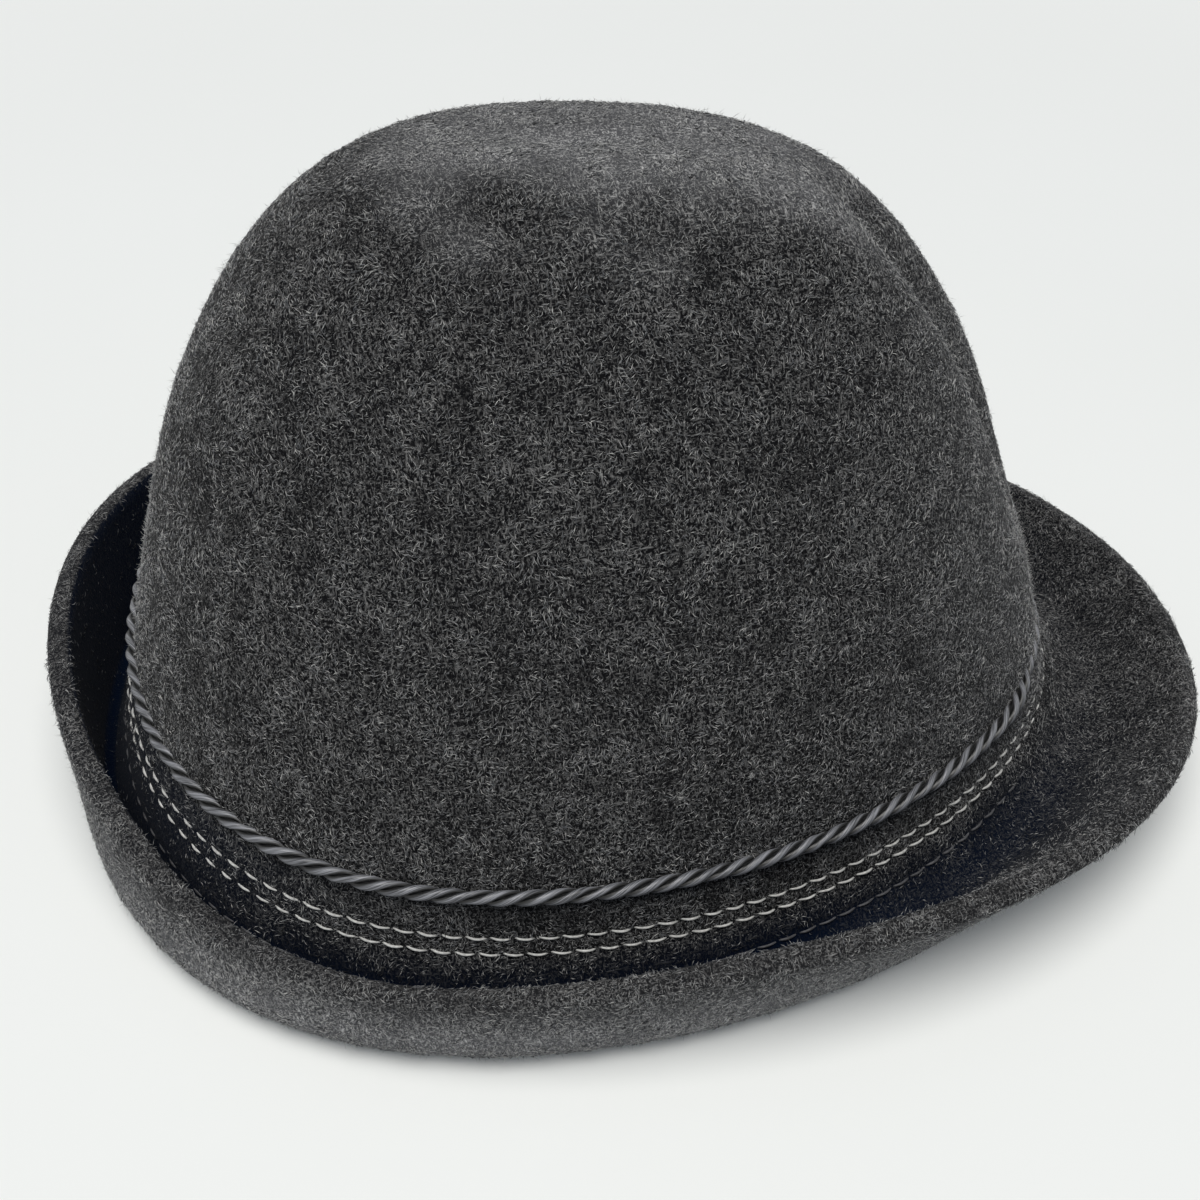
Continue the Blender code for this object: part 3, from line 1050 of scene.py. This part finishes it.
    def shade(self, whole: np.ndarray) -> np.ndarray:
        """Painted shade: how dark the felt is painted in the brim's fold, which opens towards the front and climbs the
        crown at the back.

        Args:
            whole: Places by row and step.

        Returns:
            A share from 0 to 1 by row and step.
        """
        folded = np.zeros(whole.shape[:2])
        ahead = np.cos(full_turn(self.steps))
        fold = self.tip_rows + self.band_rows
        bend = fold + self.bend_rows
        wall = bend + self.wall_rows
        folded[fold - self.dark_rows : fold] = np.linspace(self.dark_top, 1, self.dark_rows)[:, None]
        folded[fold:bend] = 1.0
        mean, swing = self.rim_shade
        folded[bend:wall] = 1 + np.linspace(0, 1, self.wall_rows)[:, None] * (mean - swing * ahead - 1)
        folded[wall : wall + self.edge_rows] = self.edge_shade * np.maximum(-ahead, 0)
        kept = np.ones(self.steps)
        for loss, low, high in self.fold_opens:
            kept -= loss * smooth_step(ahead, low, high)
        folded *= kept
        behind = slice(fold - self.climb_rows, fold)
        climb = smooth_step(-ahead, *self.climb_turn) * np.linspace(self.climb_top, 1, self.climb_rows)[:, None]
        folded[behind] = np.maximum(folded[behind], climb)
        return folded

    def build(self, finish: Material) -> None:
        """Makes the felt body.

        Args:
            finish: The felt.
        """
        rows, brushed, folded = self.skin()
        count, steps = rows.shape[:2]
        tip = [rows[0].mean(0), rows[-1].mean(0)]
        points = np.concatenate([rows.reshape(-1, 3), np.array(tip)])
        faces = skin_faces(count, steps, Winding.OPEN)
        first, last = count * steps, count * steps + 1
        end = (count - 1) * steps
        faces += [((i + 1) % steps, i, first) for i in range(steps)]
        faces += [(end + i, end + (i + 1) % steps, last) for i in range(steps)]
        obj = solid("felt_body_napped", points, faces, finish)
        # The paler felt (wear and painted light) and the painted shade go on as point layers.
        for label, values in (("brushed", brushed), ("folded", folded)):
            set_layer(obj, label, np.append(values.ravel(), [values[0, 0], 0.0]))
        self.bed = rows, brushed, folded
        dress(obj, "wool_felt", "felt_body")

    def fibre_shapes(self) -> Collection:
        """Makes bent fibres, each a closed spindle of six faces that lies along +X.

        Returns:
            A collection outside the scene that holds them.
        """
        shapes = bpy.data.collections.new("fibres")
        ring = full_turn(3) + math.pi / 2
        section = self.fibre_r * np.stack([np.zeros(3), np.cos(ring), np.sin(ring)], -1)
        for number, (curl, lift) in enumerate(self.fibre_bends):
            line = np.array([[0, 0, -0.02], [0.5, curl, lift], [1.0, -0.2 * curl, 0.7 * lift]])
            start, bend, end = line * self.fibre_long
            points = np.concatenate([start[None], bend + section, end[None]])
            faces = [(0, 1 + (i + 1) % 3, 1 + i) for i in range(3)] + [(4, 1 + i, 1 + (i + 1) % 3) for i in range(3)]
            obj = solid(f"fibre_{number}", points, faces, None)
            bpy.context.scene.collection.objects.unlink(obj)
            shapes.objects.link(obj)
        return shapes

    def grow_nap(self, batches: tuple[Nap, ...]) -> None:
        """Strews each batch of fibres over the faces that show from outside.

        Args:
            batches: The batches, one piece each.
        """
        rows, brushed, folded = self.bed
        shown = len(rows) - self.tip_rows - self.band_rows - self.bend_rows // 2
        tree, shapes = nap_tree(), self.fibre_shapes()
        part = rows[:shown]
        faces = [face[::-1] for face in skin_faces(shown, self.steps, Winding.OPEN)]
        for batch in batches:
            bed = mesh_object(batch.name, part, faces, None)
            # More pale fibres where the felt is painted paler and fewer where painted shade lies in the fold.
            amount = 1 + batch.raised_where_worn_and_lit * brushed[:shown] - batch.thinned_in_shade * folded[:shown]
            set_layer(bed, "thick", np.maximum(amount, 0.0) * smooth_step(part[..., 2], *self.bare_below))
            values = {"Density": batch.per_square_mm / MM**2, "Seed": batch.seed, "Fibres": shapes}
            values |= {"Long": batch.long, "Wide": batch.wide, "Rise": batch.rise}
            values |= {"Clumps": 1 / self.clump, "Swirls": 1 / self.swirl}
            values["Finish"] = FibreFinish("wool_fibre_" + batch.name, batch.colour).build()
            dress(realised(bed, tree, values), "wool_felt")
        for obj in list(shapes.objects):
            bpy.data.objects.remove(obj)
        bpy.data.collections.remove(shapes)


def sewn(name: str, points: tuple, tree: NodeTree, shape: Object, finish: Material, seed: int, slant: float) -> Object:
    """Sets a shape on each point of a row, then takes the shape away.

    Args:
        name: The row's name.
        points: Places, directions along the row and directions off the surface.
        tree: The tree that sets a shape on each point.
        shape: The shape.
        finish: Its material.
        seed: Seed for the small differences between the shapes.
        slant: Angle at which they lie across the row.

    Returns:
        The row, as a plain mesh.
    """
    places, tangent, outward = (np.asarray(values) for values in points)
    row = mesh_object(name, places, [], None)
    set_layer(row, "tangent", tangent)
    set_layer(row, "outward", outward)
    realised(row, tree, {"Shape": shape, "Slant": slant, "Seed": seed, "Finish": finish})
    bpy.data.objects.remove(shape)
    return row


@dataclass
class HatCord:
    """The twisted cord round the band and the thread that binds its ends."""

    block: HatBlock
    radius: float = 0.0017
    height: float = 0.0190
    clearance: float = 0.00035
    drawn_in: float = 0.00008
    sunk: float = 0.00075
    tight: float = 0.0021
    tight_behind: float = 0.55
    behind_turn: tuple = (0.3, 0.85)
    ahead_turn: tuple = (0.84, 0.95)
    lay: float = 0.0153
    strands: int = 3
    sides: int = 12
    steps_per_lay: int = 20
    join_angle: float = math.pi / 2
    join_gap: float = 0.0006
    tack_pitch: float = 0.023
    tack_pinch: float = 0.18
    tack_half: float = 0.0016
    tack_start: float = 0.4
    plump: tuple = (0.86, 0.22)
    wraps: int = 9
    wrap_l: float = 0.0070
    wrap_r: float = 0.00035
    wrap_dip: float = 0.0006
    wrap_past: float = 0.12 * math.pi

    def lift(self, angle: np.ndarray) -> np.ndarray:
        """Height of the cord's middle line off the felt, less where it is drawn tight at the back and the front.

        Args:
            angle: Angles round the hat.

        Returns:
            The height at each angle.
        """
        ahead = np.cos(angle)
        behind = self.tight_behind * smooth_step(-ahead, *self.behind_turn)
        drawn = np.maximum(behind, smooth_step(ahead, *self.ahead_turn))
        return self.radius + self.clearance - self.sunk - self.tight * drawn

    def route(self) -> tuple[np.ndarray, np.ndarray, np.ndarray]:
        """The cord's middle line at even steps.

        Returns:
            Places, outward normals and distances along the cord.
        """
        half = self.join_gap / 2 / self.block.half_width
        fine = np.linspace(self.join_angle + half, self.join_angle + 2 * math.pi - half, 3000)
        path = self.block.on_crown(fine, self.height, self.lift(fine))
        run = along_path(path)
        count = int(run[-1] / self.lay * self.steps_per_lay)
        even = np.linspace(0, run[-1], count)
        angle = np.interp(even, run, fine)
        path = self.block.on_crown(angle, self.height, self.lift(angle))
        return path, self.block.facing(angle, self.height), even

    def build(self, finish: Material) -> None:
        """Makes the cord: its strands laid round each other, drawn in where they are tacked down.

        Args:
            finish: The satin.
        """
        path, normal, run = self.route()
        tangent = unit(np.gradient(path, axis=0))
        side = unit(np.cross(tangent, normal))
        normal = np.cross(side, tangent)
        laid = self.radius - self.drawn_in
        strand_r = laid / (1 + 2 / math.sqrt(3))
        centre_r = laid - strand_r
        phase = (run + self.tack_start * self.tack_pitch) % self.tack_pitch - self.tack_pitch / 2
        pinch = 1 - self.tack_pinch * np.exp(-((phase / self.tack_half) ** 2))
        points, faces, maps = [], [], []
        for strand in range(self.strands):
            turn = 2 * math.pi * (strand / self.strands - run / self.lay)
            reach = np.cos(turn)[:, None] * normal + np.sin(turn)[:, None] * side
            spine = path + reach * (centre_r * pinch)[:, None]
            ahead = unit(np.gradient(spine, axis=0))
            out = unit(reach - (reach * ahead).sum(-1, keepdims=True) * ahead)
            fat = strand_r * pinch * (self.plump[0] + self.plump[1] * np.cos(turn))
            faces += tube_faces(len(run), self.sides, Winding.OPEN, strand * len(run) * self.sides)
            points.append(tube_points(spine, out, np.cross(ahead, out), fat, self.sides))
            ring = full_turn(self.sides) / (2 * math.pi)
            maps.append(np.stack(np.meshgrid(ring, run / self.lay, indexing="xy"), -1))
        obj = solid("twisted_cord", np.concatenate(points), faces, finish)
        self.map_strands(obj, np.concatenate(maps).reshape(-1, 2))
        dress(obj, "satin_cord", "hat_cord")

    @staticmethod
    def map_strands(obj: Object, places: np.ndarray) -> None:
        """Lays each strand out flat: round it in U, along it in V.

        Args:
            obj: The cord.
            places: Turns round the strand and lays along it, by point.
        """
        layer = obj.data.uv_layers.new(name="strand")
        for face in obj.data.polygons:
            corners = [places[obj.data.loops[i].vertex_index] for i in face.loop_indices]
            far = max(c[0] for c in corners) > 0.6
            for i, corner in zip(face.loop_indices, corners):
                layer.data[i].uv = (corner[0] + (1.0 if far and corner[0] < 0.05 else 0.0), corner[1])

    def bind(self, tree: NodeTree, finish: Material) -> None:
        """Makes the thread bound over the cord's two ends.

        Args:
            tree: The tree that sets a shape on each point.
            finish: The thread.
        """
        bow = np.linspace(-self.wrap_past, math.pi + self.wrap_past, 12)
        reach = self.radius + self.wrap_r * 0.8
        out = np.stack([np.zeros_like(bow), np.cos(bow), np.sin(bow)], -1)
        spine = reach * out
        spine[[0, -1], 2] -= self.wrap_dip
        along = np.repeat(np.array([[1.0, 0.0, 0.0]]), len(bow), 0)
        section = tube_points(spine, out, along, np.full(len(bow), self.wrap_r), 6)
        shape = solid("wrap_shape", section, tube_faces(len(bow), 6, Winding.OPEN), None)
        at = np.array([self.join_angle])
        middle = self.block.on_crown(at, self.height, self.radius + self.clearance)[0]
        step = 0.01
        tangent = unit(self.block.on_crown(at + step, self.height) - self.block.on_crown(at - step, self.height))
        places = middle + np.linspace(-0.5, 0.5, self.wraps)[:, None] * self.wrap_l * tangent
        ways = [np.repeat(way, self.wraps, 0) for way in (tangent, self.block.facing(at, self.height))]
        dress(sewn("cord_binding", (places, *ways), tree, shape, finish, 3, 0.0), "dark_thread", "cord_tack")


@dataclass
class Stitching:
    """Rows of lock stitches sewn through the felt round the band."""

    block: HatBlock
    pitch: float = 0.0046
    stitch_l: float = 0.0039
    thread_r: float = 0.00026
    sink: float = 0.00045
    arch: float = 0.00085
    slant: float = -0.07
    proud: float = 0.00005
    buried: float = 0.00038
    buried_ahead: float = 1.5
    ahead_turn: tuple = (0.68, 0.95)
    behind_turn: tuple = (0.40, 0.72)

    def shape(self) -> Object:
        """Makes one stitch: an arched thread whose ends dip into the felt.

        Returns:
            The stitch, along +X.
        """
        t = np.linspace(0, 1, 7)
        height = -self.sink * ((1 - t) ** 2 + t**2) + 2 * t * (1 - t) * self.arch
        spine = np.stack([self.stitch_l * (t - 0.5), np.zeros_like(t), height], -1)
        ahead = unit(np.gradient(spine, axis=0))
        across = np.repeat(np.array([[0.0, 1.0, 0.0]]), len(t), 0)
        fat = self.thread_r * (0.72 + 0.28 * np.sin(np.pi * t))
        section = tube_points(spine, np.cross(ahead, across), across, fat, 6)
        return solid("stitch_shape", section, tube_faces(len(t), 6, Winding.OPEN), None)

    def row(self, name: str, height: float, seed: int, tree: NodeTree, finish: Material) -> Object:
        """Sews one row.

        Args:
            name: The piece's name.
            height: Height of the row above the break line.
            seed: Seed for the small differences between stitches.
            tree: The tree that sets a shape on each point.
            finish: The thread.

        Returns:
            The row of stitches.
        """
        fine = np.linspace(0, 2 * math.pi, 3001)
        path = self.block.on_crown(fine, height, 0.0)
        run = along_path(path)
        count = round(run[-1] / self.pitch)
        angle = np.interp(np.arange(count) * run[-1] / count, run, fine)
        step = 0.004
        tangent = unit(self.block.on_crown(angle + step, height) - self.block.on_crown(angle - step, height))
        outward = self.block.facing(angle, height)
        places = self.block.on_crown(angle, height, self.proud)
        ahead = np.cos(angle)
        front = self.buried_ahead * smooth_step(ahead, *self.ahead_turn)
        depth = self.buried * np.maximum(front, smooth_step(-ahead, *self.behind_turn))
        places -= outward * depth[:, None]
        return sewn(name, (places, tangent, outward), tree, self.shape(), finish, seed, self.slant)


@dataclass
class Sweatband:
    """The leather band inside the crown, its covered reed and the tape over its back seam."""

    block: HatBlock
    thickness: float = 0.0011
    eased: float = 0.3
    foot: float = 0.0042
    top: float = 0.0360
    crease_row: int = 2
    crease_depth: float = 0.0003
    clearance: float = 0.00035
    reed_r: float = 0.0011
    gap: float = 0.0006
    tape_t: float = 0.0006
    tape_half: float = 0.0055
    tape_foot: float = 0.0068
    tape_margin: float = 0.0030
    steps: int = 260
    rows: int = 16

    def strip(self, angle: np.ndarray, heights: np.ndarray, near: float, thick: float) -> np.ndarray:
        """Sections of a strip inside the crown, with eased edges.

        Args:
            angle: Angles of the sections.
            heights: Heights of a section's points above the break line.
            near: Depth of the strip's outer face below the felt's.
            thick: The strip's thickness.

        Returns:
            Places by section and point round it.
        """
        ease = self.eased * thick
        face = [self.block.on_crown(angle, h, -near) for h in heights]
        back = [self.block.on_crown(angle, h, -near - thick) for h in heights[::-1]]
        lowest = self.block.on_crown(angle, heights[0] - ease, -near - thick / 2)
        highest = self.block.on_crown(angle, heights[-1] + ease, -near - thick / 2)
        return np.stack([lowest, *face, highest, *back], 1)

    def build(self, finish: Material) -> None:
        """Makes the leather band, with a creased line under its top edge.

        Args:
            finish: The leather.
        """
        half = self.gap / 2 / self.block.back_reach
        angle = np.linspace(-math.pi + half, math.pi - half, self.steps)
        ease = self.eased * self.thickness
        heights = np.linspace(self.foot + ease, self.top - ease, self.rows)
        sections = self.strip(angle, heights, self.block.felt + self.clearance, self.thickness)
        facing = self.block.facing(angle, float(heights[-1 - self.crease_row]))
        sections[:, self.rows + 2 + self.crease_row] += facing * self.crease_depth
        obj = solid("leather_sweatband", sections, tube_faces(*sections.shape[:2], Winding.OPEN), finish)
        dress(obj, "sweatband_leather", "sweatband")

    def build_reed(self, finish: Material) -> None:
        """Makes the covered reed at the band's sewn edge, ribbed by its binding.

        Args:
            finish: The woven cover.
        """
        steps, sides, turns = 1040, 8, 260
        angle = full_turn(steps)
        path = self.block.on_crown(angle, 0.0, -(self.block.felt + self.clearance + self.reed_r))
        normal = self.block.facing(angle, 0.0)
        tangent = unit(np.roll(path, -1, 0) - np.roll(path, 1, 0))
        lay = np.cos(turns * angle[:, None] - full_turn(sides)[None])
        section = tube_points(path, normal, unit(np.cross(normal, tangent)), self.reed_r * (0.93 + 0.07 * lay), sides)
        obj = solid("covered_reed", section, tube_faces(steps, sides, Winding.CLOSED), finish)
        self.map_weave(obj, sides, 2 * math.pi * self.block.half_width / steps)
        dress(obj, "reed_cover", "sweatband_reed")

    def build_tape(self, finish: Material) -> None:
        """Makes the tape over the back seam.

        Args:
            finish: The woven tape.
        """
        half = self.tape_half / self.block.back_reach
        angle = np.linspace(math.pi - half, math.pi + half, 12)
        ease = self.eased * self.tape_t
        heights = np.linspace(self.tape_foot + ease, self.top - self.tape_margin - ease, 28)
        near = self.block.felt + 2 * self.clearance + self.thickness
        sections = self.strip(angle, heights, near, self.tape_t)
        obj = solid("seam_tape", sections, tube_faces(*sections.shape[:2], Winding.OPEN), finish)
        self.map_weave(obj, sections.shape[1], 2 * self.tape_half / len(angle))
        dress(obj, "seam_tape", "sweatband_seam_tape")

    def sew_tape(self, tree: NodeTree, finish: Material) -> None:
        """Sews the tape down with a row of small stitches along each long edge.

        Args:
            tree: The tree that sets a shape on each point.
            finish: The thread.
        """
        small = Stitching(self.block, stitch_l=0.0019, thread_r=0.00018, sink=0.0002, arch=0.0004)
        pitch, half = 0.0023, 0.001
        heights = np.arange(self.tape_foot + 2 * half, self.top - self.tape_margin - half, pitch)
        depth = self.block.felt + 2 * self.clearance + self.thickness + self.tape_t
        places, tangents, outwards = [], [], []
        for side in (-0.75, 0.75):
            angle = np.array([math.pi + side * self.tape_half / self.block.back_reach])
            for height in heights:
                low = self.block.on_crown(angle, float(height) - half, -depth)[0]
                high = self.block.on_crown(angle, float(height) + half, -depth)[0]
                places.append((low + high) / 2)
                tangents.append(unit(high - low))
                outwards.append(-self.block.facing(angle, float(height))[0])
        row = sewn("tape_stitches", (places, tangents, outwards), tree, small.shape(), finish, 11, 0.0)
        dress(row, "dark_thread")

    @staticmethod
    def map_weave(obj: Object, ring: int, pitch: float) -> None:
        """Lays a strip out flat in millimetres: along it in U, round its section in V.

        Args:
            obj: The strip.
            ring: Points in a section.
            pitch: Distance between sections.
        """
        layer = obj.data.uv_layers.new(name="weave")
        for face in obj.data.polygons:
            for i in face.loop_indices:
                point = obj.data.loops[i].vertex_index
                layer.data[i].uv = (point // ring * pitch / MM, point % ring)


@dataclass
class Studio:
    """A pale table, soft light from above and the photograph's camera."""

    table_half: float = 4.0
    table: str = "#f3f4f2"
    table_cloud: str = "#eff0ed"
    camera_at: tuple = (-0.01266, -0.21726, 0.23465)
    camera_to: tuple = (0.02252, 0.71656, -0.69717)
    lens: float = 39.0
    overhead: float = 27.0
    overhead_size: float = 1.4
    overhead_at: tuple = (-0.06, -0.20, 1.70)
    overhead_tint: tuple = (1.0, 0.985, 0.955)
    sky: float = 0.22
    sky_tint: tuple = (0.86, 0.97, 1.12)
    lifted: float = 0.05
    fades: tuple = (0.25, 0.80)
    backdrop: tuple = (0.88, 0.895, 0.88, 1.0)

    @staticmethod
    def background_rays(tree: NodeTree) -> NodeSocket:
        """Picks the rays that show the background: from the camera, in a gloss and through glass.

        Args:
            tree: The tree that takes the nodes.

        Returns:
            1 for those rays.
        """
        rays = add_node(tree, "ShaderNodeLightPath").outputs
        through = calc(tree, "MAXIMUM", rays["Is Glossy Ray"], rays["Is Transmission Ray"])
        return calc(tree, "MAXIMUM", rays["Is Camera Ray"], through)

    def set_table(self) -> None:
        """Lays the table under the hat."""
        made, tree, shader = new_finish("painted_table")
        place = own_place(tree)
        colour = mix(tree, cloud(tree, place, 6.0, 3.0), self.table, self.table_cloud)
        feed(tree, shader, {"Base Color": colour, "Roughness": 0.6, "Specular IOR Level": 0.2})
        away = add_node(tree, "ShaderNodeVectorMath", {0: place}, operation="LENGTH").outputs["Value"]
        share = calc(tree, "MULTIPLY", self.background_rays(tree), spread(tree, away, *self.fades, to_min=self.lifted))
        paper = add_node(tree, "ShaderNodeEmission", {"Color": self.backdrop}).outputs[0]
        mixed = add_node(tree, "ShaderNodeMixShader", {0: share, 1: shader.outputs[0], 2: paper}).outputs[0]
        tree.links.new(mixed, tree.nodes["Material Output"].inputs["Surface"])
        half = self.table_half
        corners = np.array([[-half, -half, 0], [half, -half, 0], [half, half, 0], [-half, half, 0]])
        mesh_object("table_top", corners, [(0, 1, 2, 3)], made)

    def light(self) -> None:
        """Hangs one large lamp overhead and sets a pale room around."""
        lamp = bpy.data.lights.new("overhead", "AREA")
        lamp.shape, lamp.size = "DISK", self.overhead_size
        lamp.energy, lamp.color = self.overhead, self.overhead_tint
        self.point(lamp, self.overhead_at, -Vector(self.overhead_at))
        world = bpy.data.worlds.new("pale_room")
        world.use_nodes = True
        tree = world.node_tree
        room = mix(tree, self.background_rays(tree), (*(self.sky * c for c in self.sky_tint), 1), self.backdrop)
        feed(tree, tree.nodes["Background"], {"Color": room, "Strength": 1.0})
        bpy.context.scene.world = world

    def aim(self) -> None:
        """Sets the camera at the photograph's viewing angle."""
        lens = bpy.data.cameras.new("photo_camera")
        lens.lens = self.lens
        lens.sensor_width = 36.0
        lens.clip_start, lens.clip_end = 0.01, 50.0
        bpy.context.scene.camera = self.point(lens, self.camera_at, Vector(self.camera_to))

    @staticmethod
    def point(data: ID, place: tuple, way: Vector) -> Object:
        """Hangs a lamp or a camera at a place and points it a given way.

        Args:
            data: The lamp or camera.
            place: Where it hangs.
            way: Where it looks.

        Returns:
            The linked object.
        """
        obj = bpy.data.objects.new(data.name, data)
        obj.location = place
        obj.rotation_euler = way.to_track_quat("-Z", "Y").to_euler()
        bpy.context.scene.collection.objects.link(obj)
        return obj


NAP = (
    Nap("nap_coal", "#0e0e10", 1, 0.27, raised_where_worn_and_lit=-0.2, thinned_in_shade=0.5),
    Nap("nap_slate", "#535558", 2, 0.27, raised_where_worn_and_lit=-0.3, thinned_in_shade=0.90),
    Nap("nap_iron", "#68696c", 3, 0.27, raised_where_worn_and_lit=-0.1, thinned_in_shade=0.96),
    Nap("nap_grey", "#777778", 4, 0.27, raised_where_worn_and_lit=0.1),
    Nap("nap_smoke", "#898989", 5, 0.26, raised_where_worn_and_lit=0.4),
    Nap("nap_cloud", "#999999", 6, 0.25, raised_where_worn_and_lit=0.8),
    Nap("nap_ash", "#adacaa", 7, 0.20, raised_where_worn_and_lit=1.4, thinned_in_shade=1.15),
    Nap("nap_pale", "#c6c5c2", 8, 0.12, wide=0.9, raised_where_worn_and_lit=2.0, thinned_in_shade=1.25),
    Nap("nap_fuzz", "#b8b8b6", 9, 0.27, long=1.1, wide=0.5, rise=0.9, thinned_in_shade=1.25),
    Nap("nap_down", "#cbcac7", 10, 0.27, long=0.8, wide=0.4, rise=1.4, thinned_in_shade=1.25),
)


def main() -> None:
    """Builds the hat piece by piece, then the table, the light and the camera."""
    logging.basicConfig(level=logging.INFO)
    for obj in list(bpy.data.objects):
        if obj.name in ("Cube", "Light", "Camera") and obj not in frame["nodes"].values():
            bpy.data.objects.remove(obj)
    bpy.context.scene.view_settings.view_transform = "Standard"
    block = HatBlock()
    block.stand("hat_cord", HatCord.height, HatCord.radius + HatCord.clearance)
    felt = FeltBody(block)
    felt.build(FeltFinish().build())
    felt.grow_nap(NAP)
    pale = ThreadFinish("pale_polyester_thread", "#adaca9", "#d8d7d3").build()
    dark = ThreadFinish("dark_polyester_thread", "#2a2a2d", "#4e4e52").build()
    tree = row_tree()
    cord = HatCord(block)
    cord.build(SatinFinish().build())
    cord.bind(tree, dark)
    sewing = Stitching(block)
    dress(sewing.row("upper_top_stitches", 0.0098, 21, tree, pale), "pale_thread", "top_stitch_upper")
    dress(sewing.row("lower_top_stitches", 0.0068, 22, tree, pale), "pale_thread", "top_stitch_lower")
    lower = Stitching(block, arch=0.0006, slant=0.0)
    dress(lower.row("sweatband_stitches", 0.0, 23, tree, dark), "dark_thread", "sweatband_stitch")
    band = Sweatband(block)
    band.build(LeatherFinish().build())
    weave = WovenFinish().build()
    band.build_reed(weave)
    band.build_tape(weave)
    band.sew_tape(tree, dark)
    studio = Studio()
    studio.set_table()
    studio.light()
    studio.aim()


if __name__ == "__main__":
    main()
